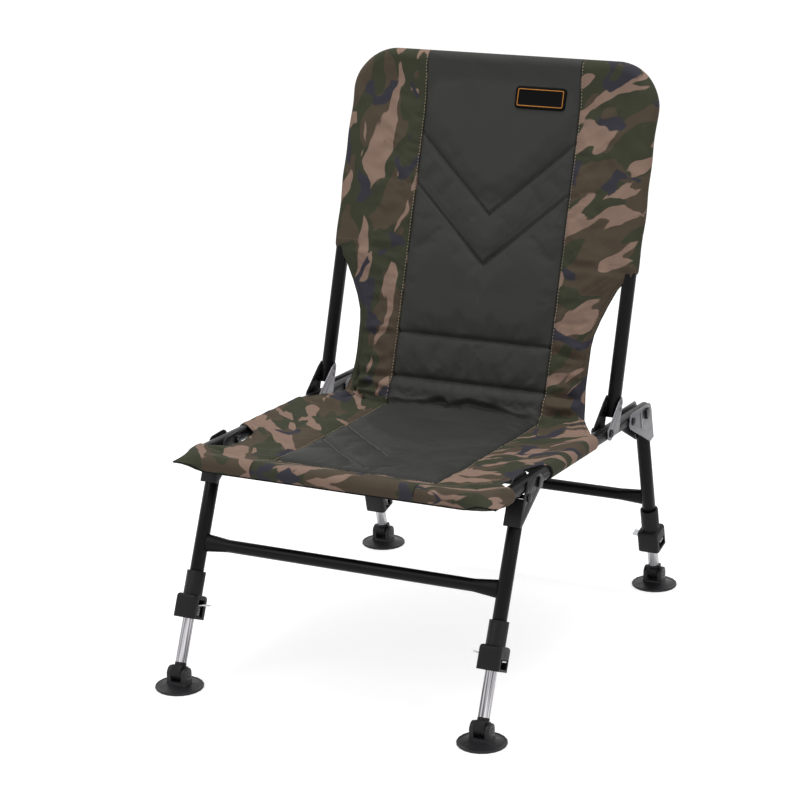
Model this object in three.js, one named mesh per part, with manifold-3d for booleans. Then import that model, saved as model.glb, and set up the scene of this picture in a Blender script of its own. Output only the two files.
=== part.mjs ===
// A folding carp fishing chair: tube frames, leg brackets, sprung-lock adjustable legs,
// swivelling mud feet and a quilted fabric sling. Millimetres, +Z up, the chair faces -Y.
import * as THREE from 'three';
import { mergeVertices } from 'three/addons/utils/BufferGeometryUtils.js';
import Module from 'manifold-3d';

const wasm = await Module();
wasm.setup();

const turn = Math.PI * 2;
const quarter = Math.PI / 2;
const degree = Math.PI / 180;

// Clearances
const touch_gap = 0.3;
const slide_gap = 0.5;
const cut_overrun = 5;

// Tubes
const tube_diameter = 20;
const tube_wall = 1.5;
const crossbar_diameter = 18;
const crossbar_wall = 1.5;
const crossbar_end_height = 25;
const crossbar_end_depth = 13;
const crossbar_flare_length = 34;
const inner_leg_diameter = 16;
const inner_leg_wall = 1.5;
const inner_leg_length = 204;

// Seat frame: a U of tube, open at the back
const seat_width = 464;
const seat_rail_length = 550;
const seat_front_height = 322;
const seat_fall_angle = 2.55 * degree;
const seat_bend_radius = 38;

// Where the folding joints sit: the front one back from the front tube, the others in from the
// open ends of the rails
const front_pivot_setback = 124.5;
const back_pivot_inset = 165;
const rear_pivot_inset = 78;
const back_pivot_setback = seat_rail_length - back_pivot_inset;
const rear_pivot_setback = seat_rail_length - rear_pivot_inset;
const back_pivot_rise = 3;

// Leg frames
const front_leg_lean = 23.94 * degree;
const rear_leg_lean = 13.5 * degree;
const front_leg_offset = 29.2;
const rear_leg_offset = 60.3;
const front_crossbar_drop = 150.7;
const rear_crossbar_drop = 168.9;
const front_collar_rise = 77.6;
const rear_collar_rise = 46.5;

// Leg brackets: pressed channels that straddle the rail and hold the leg
const cheek_thickness = 2;
const cheek_ear_radius = 12;
const bracket_drop = 67;
const front_cheek_top_lead = 30;
const front_cheek_rise = 10;
const front_cheek_nose_lead = 40;
const front_cheek_foot_width = 7;
const rear_cheek_top_lead = 66;
const rear_cheek_rise = 12.5;
const rear_cheek_nose_lead = 76;
const rear_cheek_foot_width = 15;
const front_stop_lead = 34;
const rear_stop_lead = 54;
const rib_lead = 30;
const rib_drop = 2;
const rib_length = 26;
const rib_width = 3;
const rib_height = 1;

// Bolts
const bolt_radius = 3;
const bolt_head_radius = 6;
const bolt_head_height = 3.5;
const square_head_depth = 11;
const square_head_height = 14;
const nut_radius = 5.5;
const nut_height = 4;

// Backrest frame: an upside-down U of tube
const back_recline = 18.3 * degree;
const back_post_offset = 28.2;
const back_post_start = 22.6;
const back_height = 500;
const back_bend_radius = 56;
const back_cheek_top = 54;
const back_cheek_shoulder = 45;
const back_cheek_width = 32;
const back_cheek_tip_radius = 10.5;
const rivet_radius = 3;
const rivet_height = 1.5;
const rivet_inset = 1;
const low_rivet_rise = 36;
const rivet_spacing = 9;

// Lock collars and their tilting lock plates
const collar_sleeve_radius = 13.5;
const collar_sleeve_length = 33;
const collar_box_width = 33;
const collar_box_depth = 36;
const collar_box_height = 34;
const collar_corner_radius = 5;
const collar_shoulder = 4.5;
const collar_cavity_half_width = 13;
const collar_cavity_half_depth = 15;
const collar_floor = 3.5;
const collar_cavity_top = 28;
const collar_tube_seat = 30;
const outer_window_half_depth = 11;
const outer_window_top = 16.5;
const inner_window_half_depth = 8;
const inner_window_top = 27.5;
const plate_thickness = 2;
const plate_tilt = 10 * degree;
const plate_hinge_height = 14.2;
const plate_hinge_inset = 1;
const plate_ring_half_depth = 13.5;
const plate_ring_reach = 11.5;
const plate_tab_half_depth = 6.5;
const plate_tab_reach = 28.5;
const spring_radius = 2.4;
const spring_wire = 1;
const spring_inset = 3.8;
const spring_curls = 5;

// Feet
const foot_disc_diameter = 69;
const foot_rim_height = 4;
const foot_rim_inset = 4;
const foot_hub_radius = 17;
const foot_hub_height = 6.5;
const foot_pin_height = 21;
const foot_pin_radius = 3;
const ear_thickness = 6.5;
const ear_half_depth = 10;
const knuckle_width = 15;
const knuckle_radius = 10;
const knuckle_flange_start = 11;
const knuckle_flange_height = 4;
const knuckle_plug_length = 18;

// Fabric
const sleeve_thickness = 1.9;
const sheet_thickness = 4;
const panel_thickness = 11;
const panel_half_width = 123;
const panel_drop = 3;
const groove_depth = 4;
const groove_half_width = 5;
const chevron_depth = 114;
const front_band_width = 64;
const front_sleeve_end = 47;
const side_sleeve_start = 170;
const front_notch_inner = 23;
const seat_panel_reach = 21;
const waist_taper = 69;
const seat_panel_end = back_pivot_setback + seat_panel_reach;
const side_sleeve_end = seat_panel_end - waist_taper;
const seat_chevrons = [199, 277];
const waist_half_width = 186;
const back_fabric_start = -3;
const back_sleeve_start = 215;
const back_chevrons = [315, 389];
const lumbar_seams = [23, 90];
const badge_width = 80;
const badge_height = 33;
const badge_thickness = 1.2;
const badge_side = 63;
const badge_drop = 50;

// Facets
const tube_sides = 16;
const small_sides = 10;
const nut_sides = 6;
const wire_sides = 5;
const collar_sides = 16;
const foot_sides = 20;
const curl_steps = 8;
const sleeve_steps = 7;
const bend_steps = 5;
const corner_steps = 2;
const plate_curve_steps = 5;
const samples_per_curl = 24;

// Finishes
const coated_steel = { color: 0x222023, roughness: 0.45, metalness: 0.6 };
const pressed_steel = { color: 0x3c3b3e, roughness: 0.4, metalness: 0.6 };
const zinc = { color: 0xb9babd, roughness: 0.35, metalness: 0.9 };
const dark_zinc = { color: 0x4a494c, roughness: 0.4, metalness: 0.8 };
const aluminium = { color: 0xc8c4c6, roughness: 0.3, metalness: 0.9 };
const nylon = { color: 0x29282a, roughness: 0.6, metalness: 0 };
const foot_plastic = { color: 0x242325, roughness: 0.65, metalness: 0 };
const camouflage = { color: 0x565240, roughness: 0.9, metalness: 0 };
const rubber = { color: 0x161617, roughness: 0.7, metalness: 0 };

const tube_radius = tube_diameter / 2;
const tube_bore = tube_radius - tube_wall;
const inner_leg_radius = inner_leg_diameter / 2;
const rail_x = seat_width / 2;
const bolt_hole = bolt_radius + touch_gap;
const cheek_inner = tube_radius + touch_gap;
const cheek_outer = cheek_inner + cheek_thickness;
const sleeve_bore = tube_radius + slide_gap;
const sleeve_radius = sleeve_bore + sleeve_thickness;

const weld_gap = 1e-4;
const chair = new THREE.Group();

// Geometry helpers

// Leaves only merged positions, with every face pointing out.
function closed(geometry) {
  const bare = new THREE.BufferGeometry();
  bare.setAttribute('position', geometry.getAttribute('position').clone());
  if (geometry.index) bare.setIndex(geometry.index.clone());
  const merged = mergeVertices(bare, weld_gap);
  const place = merged.getAttribute('position');
  const order = merged.index.array;
  const a = new THREE.Vector3();
  const b = new THREE.Vector3();
  const c = new THREE.Vector3();
  const kept = [];
  let volume = 0;
  for (let i = 0; i < order.length; i += 3) {
    const [p, q, r] = [order[i], order[i + 1], order[i + 2]];
    if (p === q || q === r || p === r) continue;
    kept.push(p, q, r);
    a.fromBufferAttribute(place, p);
    b.fromBufferAttribute(place, q);
    c.fromBufferAttribute(place, r);
    volume += a.dot(b.cross(c));
  }
  if (volume < 0) kept.reverse();
  merged.setIndex(kept);
  return merged;
}

function solidOf(geometry) {
  const shell = closed(geometry);
  const vertProperties = new Float32Array(shell.getAttribute('position').array);
  const triVerts = new Uint32Array(shell.index.array);
  return new wasm.Manifold(new wasm.Mesh({ numProp: 3, vertProperties, triVerts }));
}

function geometryOf(solid) {
  const mesh = solid.getMesh();
  const geometry = new THREE.BufferGeometry();
  geometry.setAttribute('position', new THREE.BufferAttribute(mesh.vertProperties, 3));
  geometry.setIndex(new THREE.BufferAttribute(mesh.triVerts, 1));
  return geometry;
}

// Joins the first pieces and cuts the second ones away.
function carve(joined, cuts = []) {
  let solid = solidOf(joined[0]);
  for (const piece of joined.slice(1)) solid = solid.add(solidOf(piece));
  for (const piece of cuts) solid = solid.subtract(solidOf(piece));
  return geometryOf(solid);
}

// Turns a profile of [radius, height] points about the Z axis.
function turned(profile, sides) {
  const points = profile.map(([radius, height]) => new THREE.Vector2(radius, height));
  return new THREE.LatheGeometry(points, sides).rotateX(quarter);
}

function pipe(outer, inner, from, to, sides = tube_sides) {
  return turned([[inner, from], [outer, from], [outer, to], [inner, to], [inner, from]], sides);
}

function rod(radius, from, to, sides = small_sides) {
  return turned([[0, from], [radius, from], [radius, to], [0, to]], sides);
}

// Lays something made along Z along X instead.
function acrossX(geometry) {
  return geometry.rotateY(quarter);
}

function box(low, high) {
  const size = high.map((value, axis) => value - low[axis]);
  const middle = high.map((value, axis) => (value + low[axis]) / 2);
  return new THREE.BoxGeometry(...size).translate(...middle);
}

// A flat outline in the YZ plane, extruded along X.
function plateAcross(shape, from, to) {
  const settings = { depth: to - from, bevelEnabled: false, curveSegments: plate_curve_steps };
  const along = new THREE.Matrix4().makeBasis(
    new THREE.Vector3(0, 1, 0),
    new THREE.Vector3(0, 0, 1),
    new THREE.Vector3(1, 0, 0),
  );
  return new THREE.ExtrudeGeometry(shape, settings).applyMatrix4(along).translate(from, 0, 0);
}

function outline(points) {
  return new THREE.Shape(points.map(([u, v]) => new THREE.Vector2(u, v)));
}

// A route with a section only where it starts, ends or turns.
class Route extends THREE.Curve {
  constructor(stations) {
    super();
    this.stations = stations;
  }

  at(share, key) {
    const last = this.stations.length - 1;
    const place = Math.min(share * last, last);
    const from = Math.min(Math.floor(place + 1e-6), last);
    const to = Math.min(from + 1, last);
    return this.stations[from][key].clone().lerp(this.stations[to][key], Math.max(place - from, 0));
  }

  getPoint(share) {
    return this.at(share, 'point');
  }

  getTangent(share) {
    return this.at(share, 'way').normalize();
  }

  getUtoTmapping(share) {
    return share;
  }
}

// The stations of a flat U: two legs and a bar, with a rounded corner at each end of the bar.
function uRoute(half_width, length, bend_radius, bar_level, toPoint) {
  const stations = [];
  const add = (x, along, way_x, way_along) => {
    const point = toPoint(x, along);
    const way = toPoint(way_x, way_along).sub(toPoint(0, 0));
    stations.push({ point, way });
  };
  add(-half_width, length, 0, -1);
  for (const side of [-1, 1]) {
    const centre_x = side * (half_width - bend_radius);
    for (let step = 0; step <= bend_steps; step += 1) {
      const share = side < 0 ? step / bend_steps : 1 - step / bend_steps;
      const angle = share * quarter;
      const x = centre_x + side * bend_radius * Math.cos(angle);
      const along = bar_level + bend_radius * (1 - Math.sin(angle));
      add(x, along, Math.sin(angle), side * Math.cos(angle));
    }
  }
  add(half_width, length, 0, 1);
  return new Route(stations);
}

function roundOutline(radius, sides) {
  const points = [];
  for (let step = 0; step < sides; step += 1) {
    const angle = (step / sides) * turn;
    points.push([radius * Math.cos(angle), radius * Math.sin(angle)]);
  }
  return outline(points);
}

function tubeAlong(route, radius, bore = 0, sides = tube_sides) {
  const ring = roundOutline(radius, sides);
  if (bore > 0) ring.holes.push(roundOutline(bore, sides));
  const settings = { steps: route.stations.length - 1, extrudePath: route };
  return new THREE.ExtrudeGeometry(ring, settings);
}

function addPiece(parent, name, geometry, finish) {
  const mesh = new THREE.Mesh(closed(geometry), new THREE.MeshStandardMaterial(finish));
  mesh.name = name;
  parent.add(mesh);
}

function sideName(side) {
  return side < 0 ? 'left' : 'right';
}

// Seat frame, laid out in a frame whose Y runs back along the rails
const seat = new THREE.Group();
seat.position.set(0, 0, seat_front_height);
seat.rotation.x = -seat_fall_angle;
chair.add(seat);

const toSeat = (x, along) => new THREE.Vector3(x, along, 0);
const seat_route = uRoute(rail_x, seat_rail_length, seat_bend_radius, 0, toSeat);

function acrossRail(side, setback, rise, radius, sides = small_sides) {
  const reach = tube_radius + cut_overrun;
  return acrossX(rod(radius, -reach, reach, sides)).translate(side * rail_x, setback, rise);
}

// The rear stop bolt seats in a notch that is open below, and swings out of it as the leg folds.
function stopNotch(side) {
  const half = tube_radius + cut_overrun;
  const x = side * rail_x;
  const middle = rear_pivot_setback + rear_stop_lead;
  const swing = (tube_diameter * tube_diameter) / (2 * rear_stop_lead);
  const low = [x - half, middle - bolt_hole - swing, -half];
  const high = [x + half, middle + bolt_hole, bolt_hole];
  return box(low, high);
}

const rail_cuts = [];
for (const side of [-1, 1]) {
  rail_cuts.push(acrossRail(side, front_pivot_setback, 0, bolt_hole));
  rail_cuts.push(acrossRail(side, back_pivot_setback, back_pivot_rise, bolt_hole));
  rail_cuts.push(acrossRail(side, rear_pivot_setback, 0, bolt_hole));
  rail_cuts.push(stopNotch(side));
}
const seat_frame = carve([tubeAlong(seat_route, tube_radius, tube_bore)], rail_cuts);
addPiece(seat, 'seat_frame', seat_frame, coated_steel);

// Domed caps that plug the rear ends of the rails
for (const side of [-1, 1]) {
  const plug = tube_bore - touch_gap;
  const dome = tube_radius / 2;
  const profile = [
    [0, -tube_radius],
    [plug, -tube_radius],
    [plug, touch_gap],
    [tube_radius, touch_gap],
    [tube_radius * Math.cos(quarter / 3), touch_gap + dome * Math.sin(quarter / 3) + touch_gap],
    [tube_radius * Math.cos((quarter * 2) / 3), touch_gap + dome],
    [0, touch_gap + dome + touch_gap],
  ];
  const cap = turned(profile, tube_sides).rotateX(-quarter);
  cap.translate(side * rail_x, seat_rail_length, 0);
  addPiece(seat, `rail_end_cap_${sideName(side)}`, cap, nylon);
}

// A bolt laid across a rail or bracket, its head on the outer side and its nut on the inner side.
function boltAcross(side, head) {
  const face = cheek_outer + touch_gap;
  const shank = acrossX(rod(bolt_radius, -face - nut_height / 2, face + bolt_head_height / 2));
  const nut = acrossX(rod(nut_radius, -face - nut_height, -face, nut_sides));
  return carve([shank, nut, head(face)]).scale(side, 1, 1);
}

function roundHead(face) {
  const crown = bolt_head_radius / 2;
  const profile = [
    [0, face],
    [bolt_head_radius, face],
    [bolt_head_radius, face + bolt_head_height / 2],
    [crown, face + bolt_head_height],
    [0, face + bolt_head_height],
  ];
  return acrossX(turned(profile, small_sides));
}

function squareHead(face) {
  const low = [face, -square_head_depth / 2, -square_head_height / 2];
  const high = [face + bolt_head_height, square_head_depth / 2, square_head_height / 2];
  return box(low, high);
}

// Leg brackets, in a frame at the pivot whose Z runs up the leg. `way` is -1 for the front legs,
// which stand in front of their pivot, and 1 for the rear legs, which stand behind it.
// `slant` is the angle between the rail and the square across the leg.
function bracketOutline(leg) {
  const { way, slant, offset, top_lead, top_rise, nose_lead, foot_width } = leg;
  const web = offset + tube_radius + touch_gap + cheek_thickness;
  const onRail = (lead, rise) => [
    way * (lead * Math.cos(slant) + rise * Math.sin(slant)),
    rise * Math.cos(slant) - lead * Math.sin(slant),
  ];
  const shape = new THREE.Shape();
  const start = onRail(0, cheek_ear_radius);
  const corner = onRail(top_lead, top_rise);
  const shoulder = onRail((top_lead + nose_lead) / 2, top_rise * 0.75);
  const nose = onRail(nose_lead, 0);
  const foot = [way * (web - foot_width), -bracket_drop];
  const facing = Math.atan2(start[1], start[0]);
  const reach = Math.hypot(...foot);
  const tangent = Math.acos(cheek_ear_radius / reach);
  const end = Math.atan2(foot[1], foot[0]) - way * tangent;
  shape.absarc(0, 0, cheek_ear_radius, facing, end, way < 0);
  shape.lineTo(...foot);
  shape.lineTo(way * web, -bracket_drop);
  shape.lineTo(way * web, nose[1] - tube_radius);
  shape.lineTo(...nose);
  shape.lineTo(...shoulder);
  shape.lineTo(...corner);
  shape.closePath();
  return { shape, web };
}

function bracket(leg) {
  const { way, slant } = leg;
  const { shape, web } = bracketOutline(leg);
  const reach = web + bracket_drop;
  const slot_back = way * (web - cheek_thickness);
  const slot_ends = [slot_back, -way * reach].sort((a, b) => a - b);
  const slot = box([-cheek_inner, slot_ends[0], -reach], [cheek_inner, slot_ends[1], reach]);
  const under_rail = tube_radius + touch_gap + cheek_thickness;
  const passage = box([-cheek_inner, -reach, -under_rail], [cheek_inner, reach, reach]);
  passage.rotateX(-way * slant);
  const hole_reach = cheek_outer + cut_overrun;
  const hole = () => acrossX(rod(bolt_hole, -hole_reach, hole_reach));
  const cuts = [slot, passage, hole(), hole().translate(0, ...leg.stop)];
  const joined = [plateAcross(shape, -cheek_outer, cheek_outer)];
  if (leg.has_rib) joined.push(pressedRib(-1), pressedRib(1));
  return carve(joined, cuts);
}

// A rib pressed out of a cheek, beside the leg
function pressedRib(face) {
  const ends = [face * (cheek_outer - cheek_thickness / 2), face * (cheek_outer + rib_height)];
  ends.sort((a, b) => a - b);
  return box(
    [ends[0], rib_lead - rib_width / 2, -rib_drop - rib_length],
    [ends[1], rib_lead + rib_width / 2, -rib_drop],
  );
}

function crossbar(offset_y, drop) {
  const end_x = rail_x;
  const section = (x, height, depth) => {
    const ring = [];
    for (let step = 0; step < tube_sides; step += 1) {
      const angle = (step / tube_sides) * turn;
      ring.push(new THREE.Vector3(x, (depth / 2) * Math.cos(angle), (height / 2) * Math.sin(angle)));
    }
    return ring;
  };
  const rings = (wall) => {
    const round = crossbar_diameter - 2 * wall;
    const tall = crossbar_end_height - 2 * wall;
    const flat = crossbar_end_depth - 2 * wall;
    const neck = end_x - tube_radius - crossbar_flare_length;
    const beyond = end_x + (wall > 0 ? cut_overrun : 0);
    const left = [section(-beyond, tall, flat), section(-end_x + tube_radius, tall, flat)];
    const right = [section(end_x - tube_radius, tall, flat), section(beyond, tall, flat)];
    return [...left, section(-neck, round, round), section(neck, round, round), ...right];
  };
  const reach = crossbar_end_height + cut_overrun;
  const saddle = tube_radius + touch_gap;
  const leg = (side) => rod(saddle, -reach, reach, tube_sides).translate(side * rail_x, 0, 0);
  const beyond = (side) => {
    const near = side * rail_x;
    const far = side * (rail_x + tube_radius + cut_overrun);
    const ends = [near, far].sort((a, b) => a - b);
    return box([ends[0], -reach, -reach], [ends[1], reach, reach]);
  };
  const flatten = (point) => new THREE.Vector2(point.y, point.z);
  const bore = skinned(rings(crossbar_wall), flatten);
  const cuts = [bore, leg(-1), leg(1), beyond(-1), beyond(1)];
  return carve([skinned(rings(0), flatten)], cuts).translate(0, offset_y, -drop);
}

// Skins a row of rings, each with as many points, and closes both ends.
// `flatten` gives a ring's points as a flat outline.
function skinned(rings, flatten) {
  const count = rings[0].length;
  const order = [];
  for (let ring = 0; ring + 1 < rings.length; ring += 1) {
    for (let step = 0; step < count; step += 1) {
      const next = (step + 1) % count;
      const [a, b] = [ring * count + step, ring * count + next];
      order.push(a, b, b + count, a, b + count, a + count);
    }
  }
  const last = rings.length - 1;
  for (const ring of [0, last]) {
    const ends = THREE.ShapeUtils.triangulateShape(rings[ring].map(flatten), []);
    const follows = ([a, b, c]) => b === a + 1 || c === b + 1 || a === c + 1;
    const forward = ends.some(follows);
    const keep = forward === (ring === last);
    for (const [a, b, c] of ends) {
      const corners = keep ? [a, b, c] : [a, c, b];
      order.push(...corners.map((corner) => ring * count + corner));
    }
  }
  const positions = rings.flat().flatMap((point) => point.toArray());
  const geometry = new THREE.BufferGeometry();
  geometry.setAttribute('position', new THREE.Float32BufferAttribute(positions, 3));
  geometry.setIndex(order);
  return geometry;
}

// Lock collar, in a frame on the leg's centre line at the collar's lower face. +X faces outward.
function collar() {
  const half_width = collar_box_width / 2;
  const half_depth = collar_box_depth / 2;
  const r = collar_corner_radius;
  const shape = new THREE.Shape();
  shape.absarc(half_width - r, half_depth - r, r, 0, quarter, false);
  shape.absarc(r - half_width, half_depth - r, r, quarter, 2 * quarter, false);
  shape.absarc(r - half_width, r - half_depth, r, 2 * quarter, 3 * quarter, false);
  shape.absarc(half_width - r, r - half_depth, r, 3 * quarter, turn, false);
  const settings = {
    depth: collar_box_height - collar_shoulder,
    curveSegments: corner_steps,
    bevelEnabled: false,
  };
  const body = new THREE.ExtrudeGeometry(shape, settings);
  const shoulder = new THREE.ExtrudeGeometry(shape, {
    depth: touch_gap,
    curveSegments: corner_steps,
    bevelThickness: collar_shoulder - touch_gap,
    bevelSize: collar_shoulder - touch_gap,
    bevelOffset: touch_gap - collar_shoulder,
    bevelSegments: corner_steps,
  }).translate(0, 0, settings.depth - touch_gap);
  const top = collar_box_height + collar_sleeve_length;
  const sleeve = rod(collar_sleeve_radius, collar_box_height / 2, top, collar_sides);
  const x = collar_cavity_half_width;
  const y = collar_cavity_half_depth;
  const out = half_width + cut_overrun;
  const cuts = [
    rod(tube_radius + touch_gap, collar_tube_seat, top + cut_overrun, collar_sides),
    rod(inner_leg_radius + slide_gap, -cut_overrun, collar_tube_seat + cut_overrun, collar_sides),
    box([-x, -y, collar_floor], [x, y, collar_cavity_top]),
    box([0, -outer_window_half_depth, collar_floor], [out, outer_window_half_depth, outer_window_top]),
    box([-out, -inner_window_half_depth, collar_floor], [0, inner_window_half_depth, inner_window_top]),
  ];
  return carve([body, shoulder, sleeve], cuts);
}

// Lock plate, in a frame at its hinge edge: the leg passes through its hole, its tab points inward.
const plate_hinge_x = collar_box_width / 2 - plate_hinge_inset;

function lockPlate() {
  const leg_x = -plate_hinge_x / Math.cos(plate_tilt);
  const lean = plate_thickness * Math.tan(plate_tilt);
  const along = inner_leg_radius / Math.cos(plate_tilt) + lean + slide_gap;
  const across = inner_leg_radius + slide_gap;
  const near = leg_x + plate_ring_reach;
  const far = leg_x - plate_ring_reach;
  const tab = leg_x - plate_tab_reach;
  const shape = outline([
    [plate_hinge_inset, -plate_tab_half_depth],
    [plate_hinge_inset, plate_tab_half_depth],
    [near, plate_tab_half_depth],
    [near, plate_ring_half_depth],
    [far, plate_ring_half_depth],
    [far, plate_tab_half_depth],
    [tab, plate_tab_half_depth],
    [tab, -plate_tab_half_depth],
    [far, -plate_tab_half_depth],
    [far, -plate_ring_half_depth],
    [near, -plate_ring_half_depth],
    [near, -plate_tab_half_depth],
  ]);
  const hole = new THREE.Path();
  hole.absellipse(leg_x, 0, along, across, 0, turn, true);
  shape.holes.push(hole);
  const curveSegments = 2 * plate_curve_steps;
  const settings = { depth: plate_thickness, bevelEnabled: false, curveSegments };
  return new THREE.ExtrudeGeometry(shape, settings).translate(0, 0, -plate_thickness / 2);
}

// Lock spring: one unbroken wire that stands on the collar's floor under the plate's tab.
const spring_x = collar_box_width / 2 - spring_inset;
const plate_level_at_spring = plate_hinge_height + (plate_hinge_x + spring_x) * Math.tan(plate_tilt);
const spring_bottom = collar_floor + touch_gap + spring_wire / 2;
const spring_lean = (spring_radius + spring_wire) * Math.tan(plate_tilt);
const plate_under = plate_thickness / 2 / Math.cos(plate_tilt) + spring_lean;
const spring_top = plate_level_at_spring - plate_under - touch_gap - spring_wire / 2;

class SpringRoute extends THREE.Curve {
  getPoint(share) {
    const angle = share * spring_curls * turn;
    const height = spring_bottom + share * (spring_top - spring_bottom);
    return new THREE.Vector3(spring_radius * Math.cos(angle), spring_radius * Math.sin(angle), height);
  }
}

function lockSpring() {
  const settings = { steps: spring_curls * curl_steps, extrudePath: new SpringRoute() };
  return new THREE.ExtrudeGeometry(roundOutline(spring_wire / 2, wire_sides), settings);
}

// The least gap between stretches of the wire that are half a turn or more apart
function springLeastGap() {
  const route = new SpringRoute();
  const count = spring_curls * samples_per_curl;
  const points = [];
  for (let step = 0; step <= count; step += 1) points.push(route.getPoint(step / count));
  let least = Infinity;
  for (let first = 0; first < points.length; first += 1) {
    for (let second = first + samples_per_curl / 2; second < points.length; second += 1) {
      least = Math.min(least, points[first].distanceTo(points[second]));
    }
  }
  return least - spring_wire;
}

// Feet, in a frame at the pin
function footDisc() {
  const radius = foot_disc_diameter / 2;
  const chamfer = foot_rim_height / 4;
  const inner = radius - foot_rim_inset;
  const profile = [
    [0, 0],
    [radius - chamfer, 0],
    [radius, chamfer],
    [radius, foot_rim_height - chamfer],
    [radius - chamfer, foot_rim_height],
    [inner, foot_rim_height - chamfer],
    [foot_hub_radius, foot_hub_height],
    [0, foot_hub_height],
  ];
  const disc = turned(profile, foot_sides).translate(0, 0, -foot_pin_height);
  const base = foot_rim_height - foot_pin_height;
  const ear = (side) => {
    const shape = new THREE.Shape();
    shape.absarc(0, 0, ear_half_depth, 0, 2 * quarter, false);
    shape.lineTo(-ear_half_depth, base);
    shape.lineTo(ear_half_depth, base);
    const near = side * (knuckle_width / 2 + slide_gap);
    const far = side * (knuckle_width / 2 + slide_gap + ear_thickness);
    return plateAcross(shape, Math.min(near, far), Math.max(near, far));
  };
  const reach = knuckle_width + ear_thickness;
  const hole = acrossX(rod(foot_pin_radius + touch_gap, -reach, reach));
  const saddle = box(
    [-knuckle_width, -ear_half_depth, base],
    [knuckle_width, ear_half_depth, -knuckle_radius - slide_gap],
  );
  return carve([disc, saddle, ear(-1), ear(1)], [hole]);
}

function knuckle() {
  const shape = new THREE.Shape();
  shape.absarc(0, 0, knuckle_radius, 2 * quarter, 4 * quarter, false);
  shape.lineTo(knuckle_radius, knuckle_flange_start);
  shape.lineTo(-knuckle_radius, knuckle_flange_start);
  const block = plateAcross(shape, -knuckle_width / 2, knuckle_width / 2);
  const flange_top = knuckle_flange_start + knuckle_flange_height;
  const plug_radius = inner_leg_radius - inner_leg_wall - touch_gap;
  const stem = turned([
    [0, knuckle_flange_start - touch_gap],
    [inner_leg_radius + touch_gap, knuckle_flange_start - touch_gap],
    [inner_leg_radius + touch_gap, flange_top],
    [plug_radius, flange_top],
    [plug_radius, flange_top + knuckle_plug_length],
    [0, flange_top + knuckle_plug_length],
  ], collar_sides);
  const hole = acrossX(rod(foot_pin_radius + touch_gap, -knuckle_width, knuckle_width));
  return carve([block, stem], [hole]);
}

function footPin() {
  const half = knuckle_width / 2 + slide_gap + ear_thickness + touch_gap;
  return acrossX(rod(foot_pin_radius, -half, half));
}

// Leg frames
const leg_frames = [
  {
    name: 'front',
    way: -1,
    setback: front_pivot_setback,
    lean: front_leg_lean,
    slant: front_leg_lean - seat_fall_angle,
    offset: front_leg_offset,
    crossbar_drop: front_crossbar_drop,
    collar_rise: front_collar_rise,
    top_lead: front_cheek_top_lead,
    top_rise: front_cheek_rise,
    nose_lead: front_cheek_nose_lead,
    foot_width: front_cheek_foot_width,
    stop_lead: front_stop_lead,
    stop_rise: -tube_radius - touch_gap - bolt_radius,
    pivot_head: squareHead,
    stop_head: roundHead,
    pivot_finish: dark_zinc,
    stop_finish: zinc,
    has_rib: false,
  },
  {
    name: 'rear',
    way: 1,
    setback: rear_pivot_setback,
    lean: rear_leg_lean,
    slant: rear_leg_lean + seat_fall_angle,
    offset: rear_leg_offset,
    crossbar_drop: rear_crossbar_drop,
    collar_rise: rear_collar_rise,
    top_lead: rear_cheek_top_lead,
    top_rise: rear_cheek_rise,
    nose_lead: rear_cheek_nose_lead,
    foot_width: rear_cheek_foot_width,
    stop_lead: rear_stop_lead,
    stop_rise: 0,
    pivot_head: roundHead,
    stop_head: squareHead,
    pivot_finish: dark_zinc,
    stop_finish: dark_zinc,
    has_rib: true,
  },
];

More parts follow.
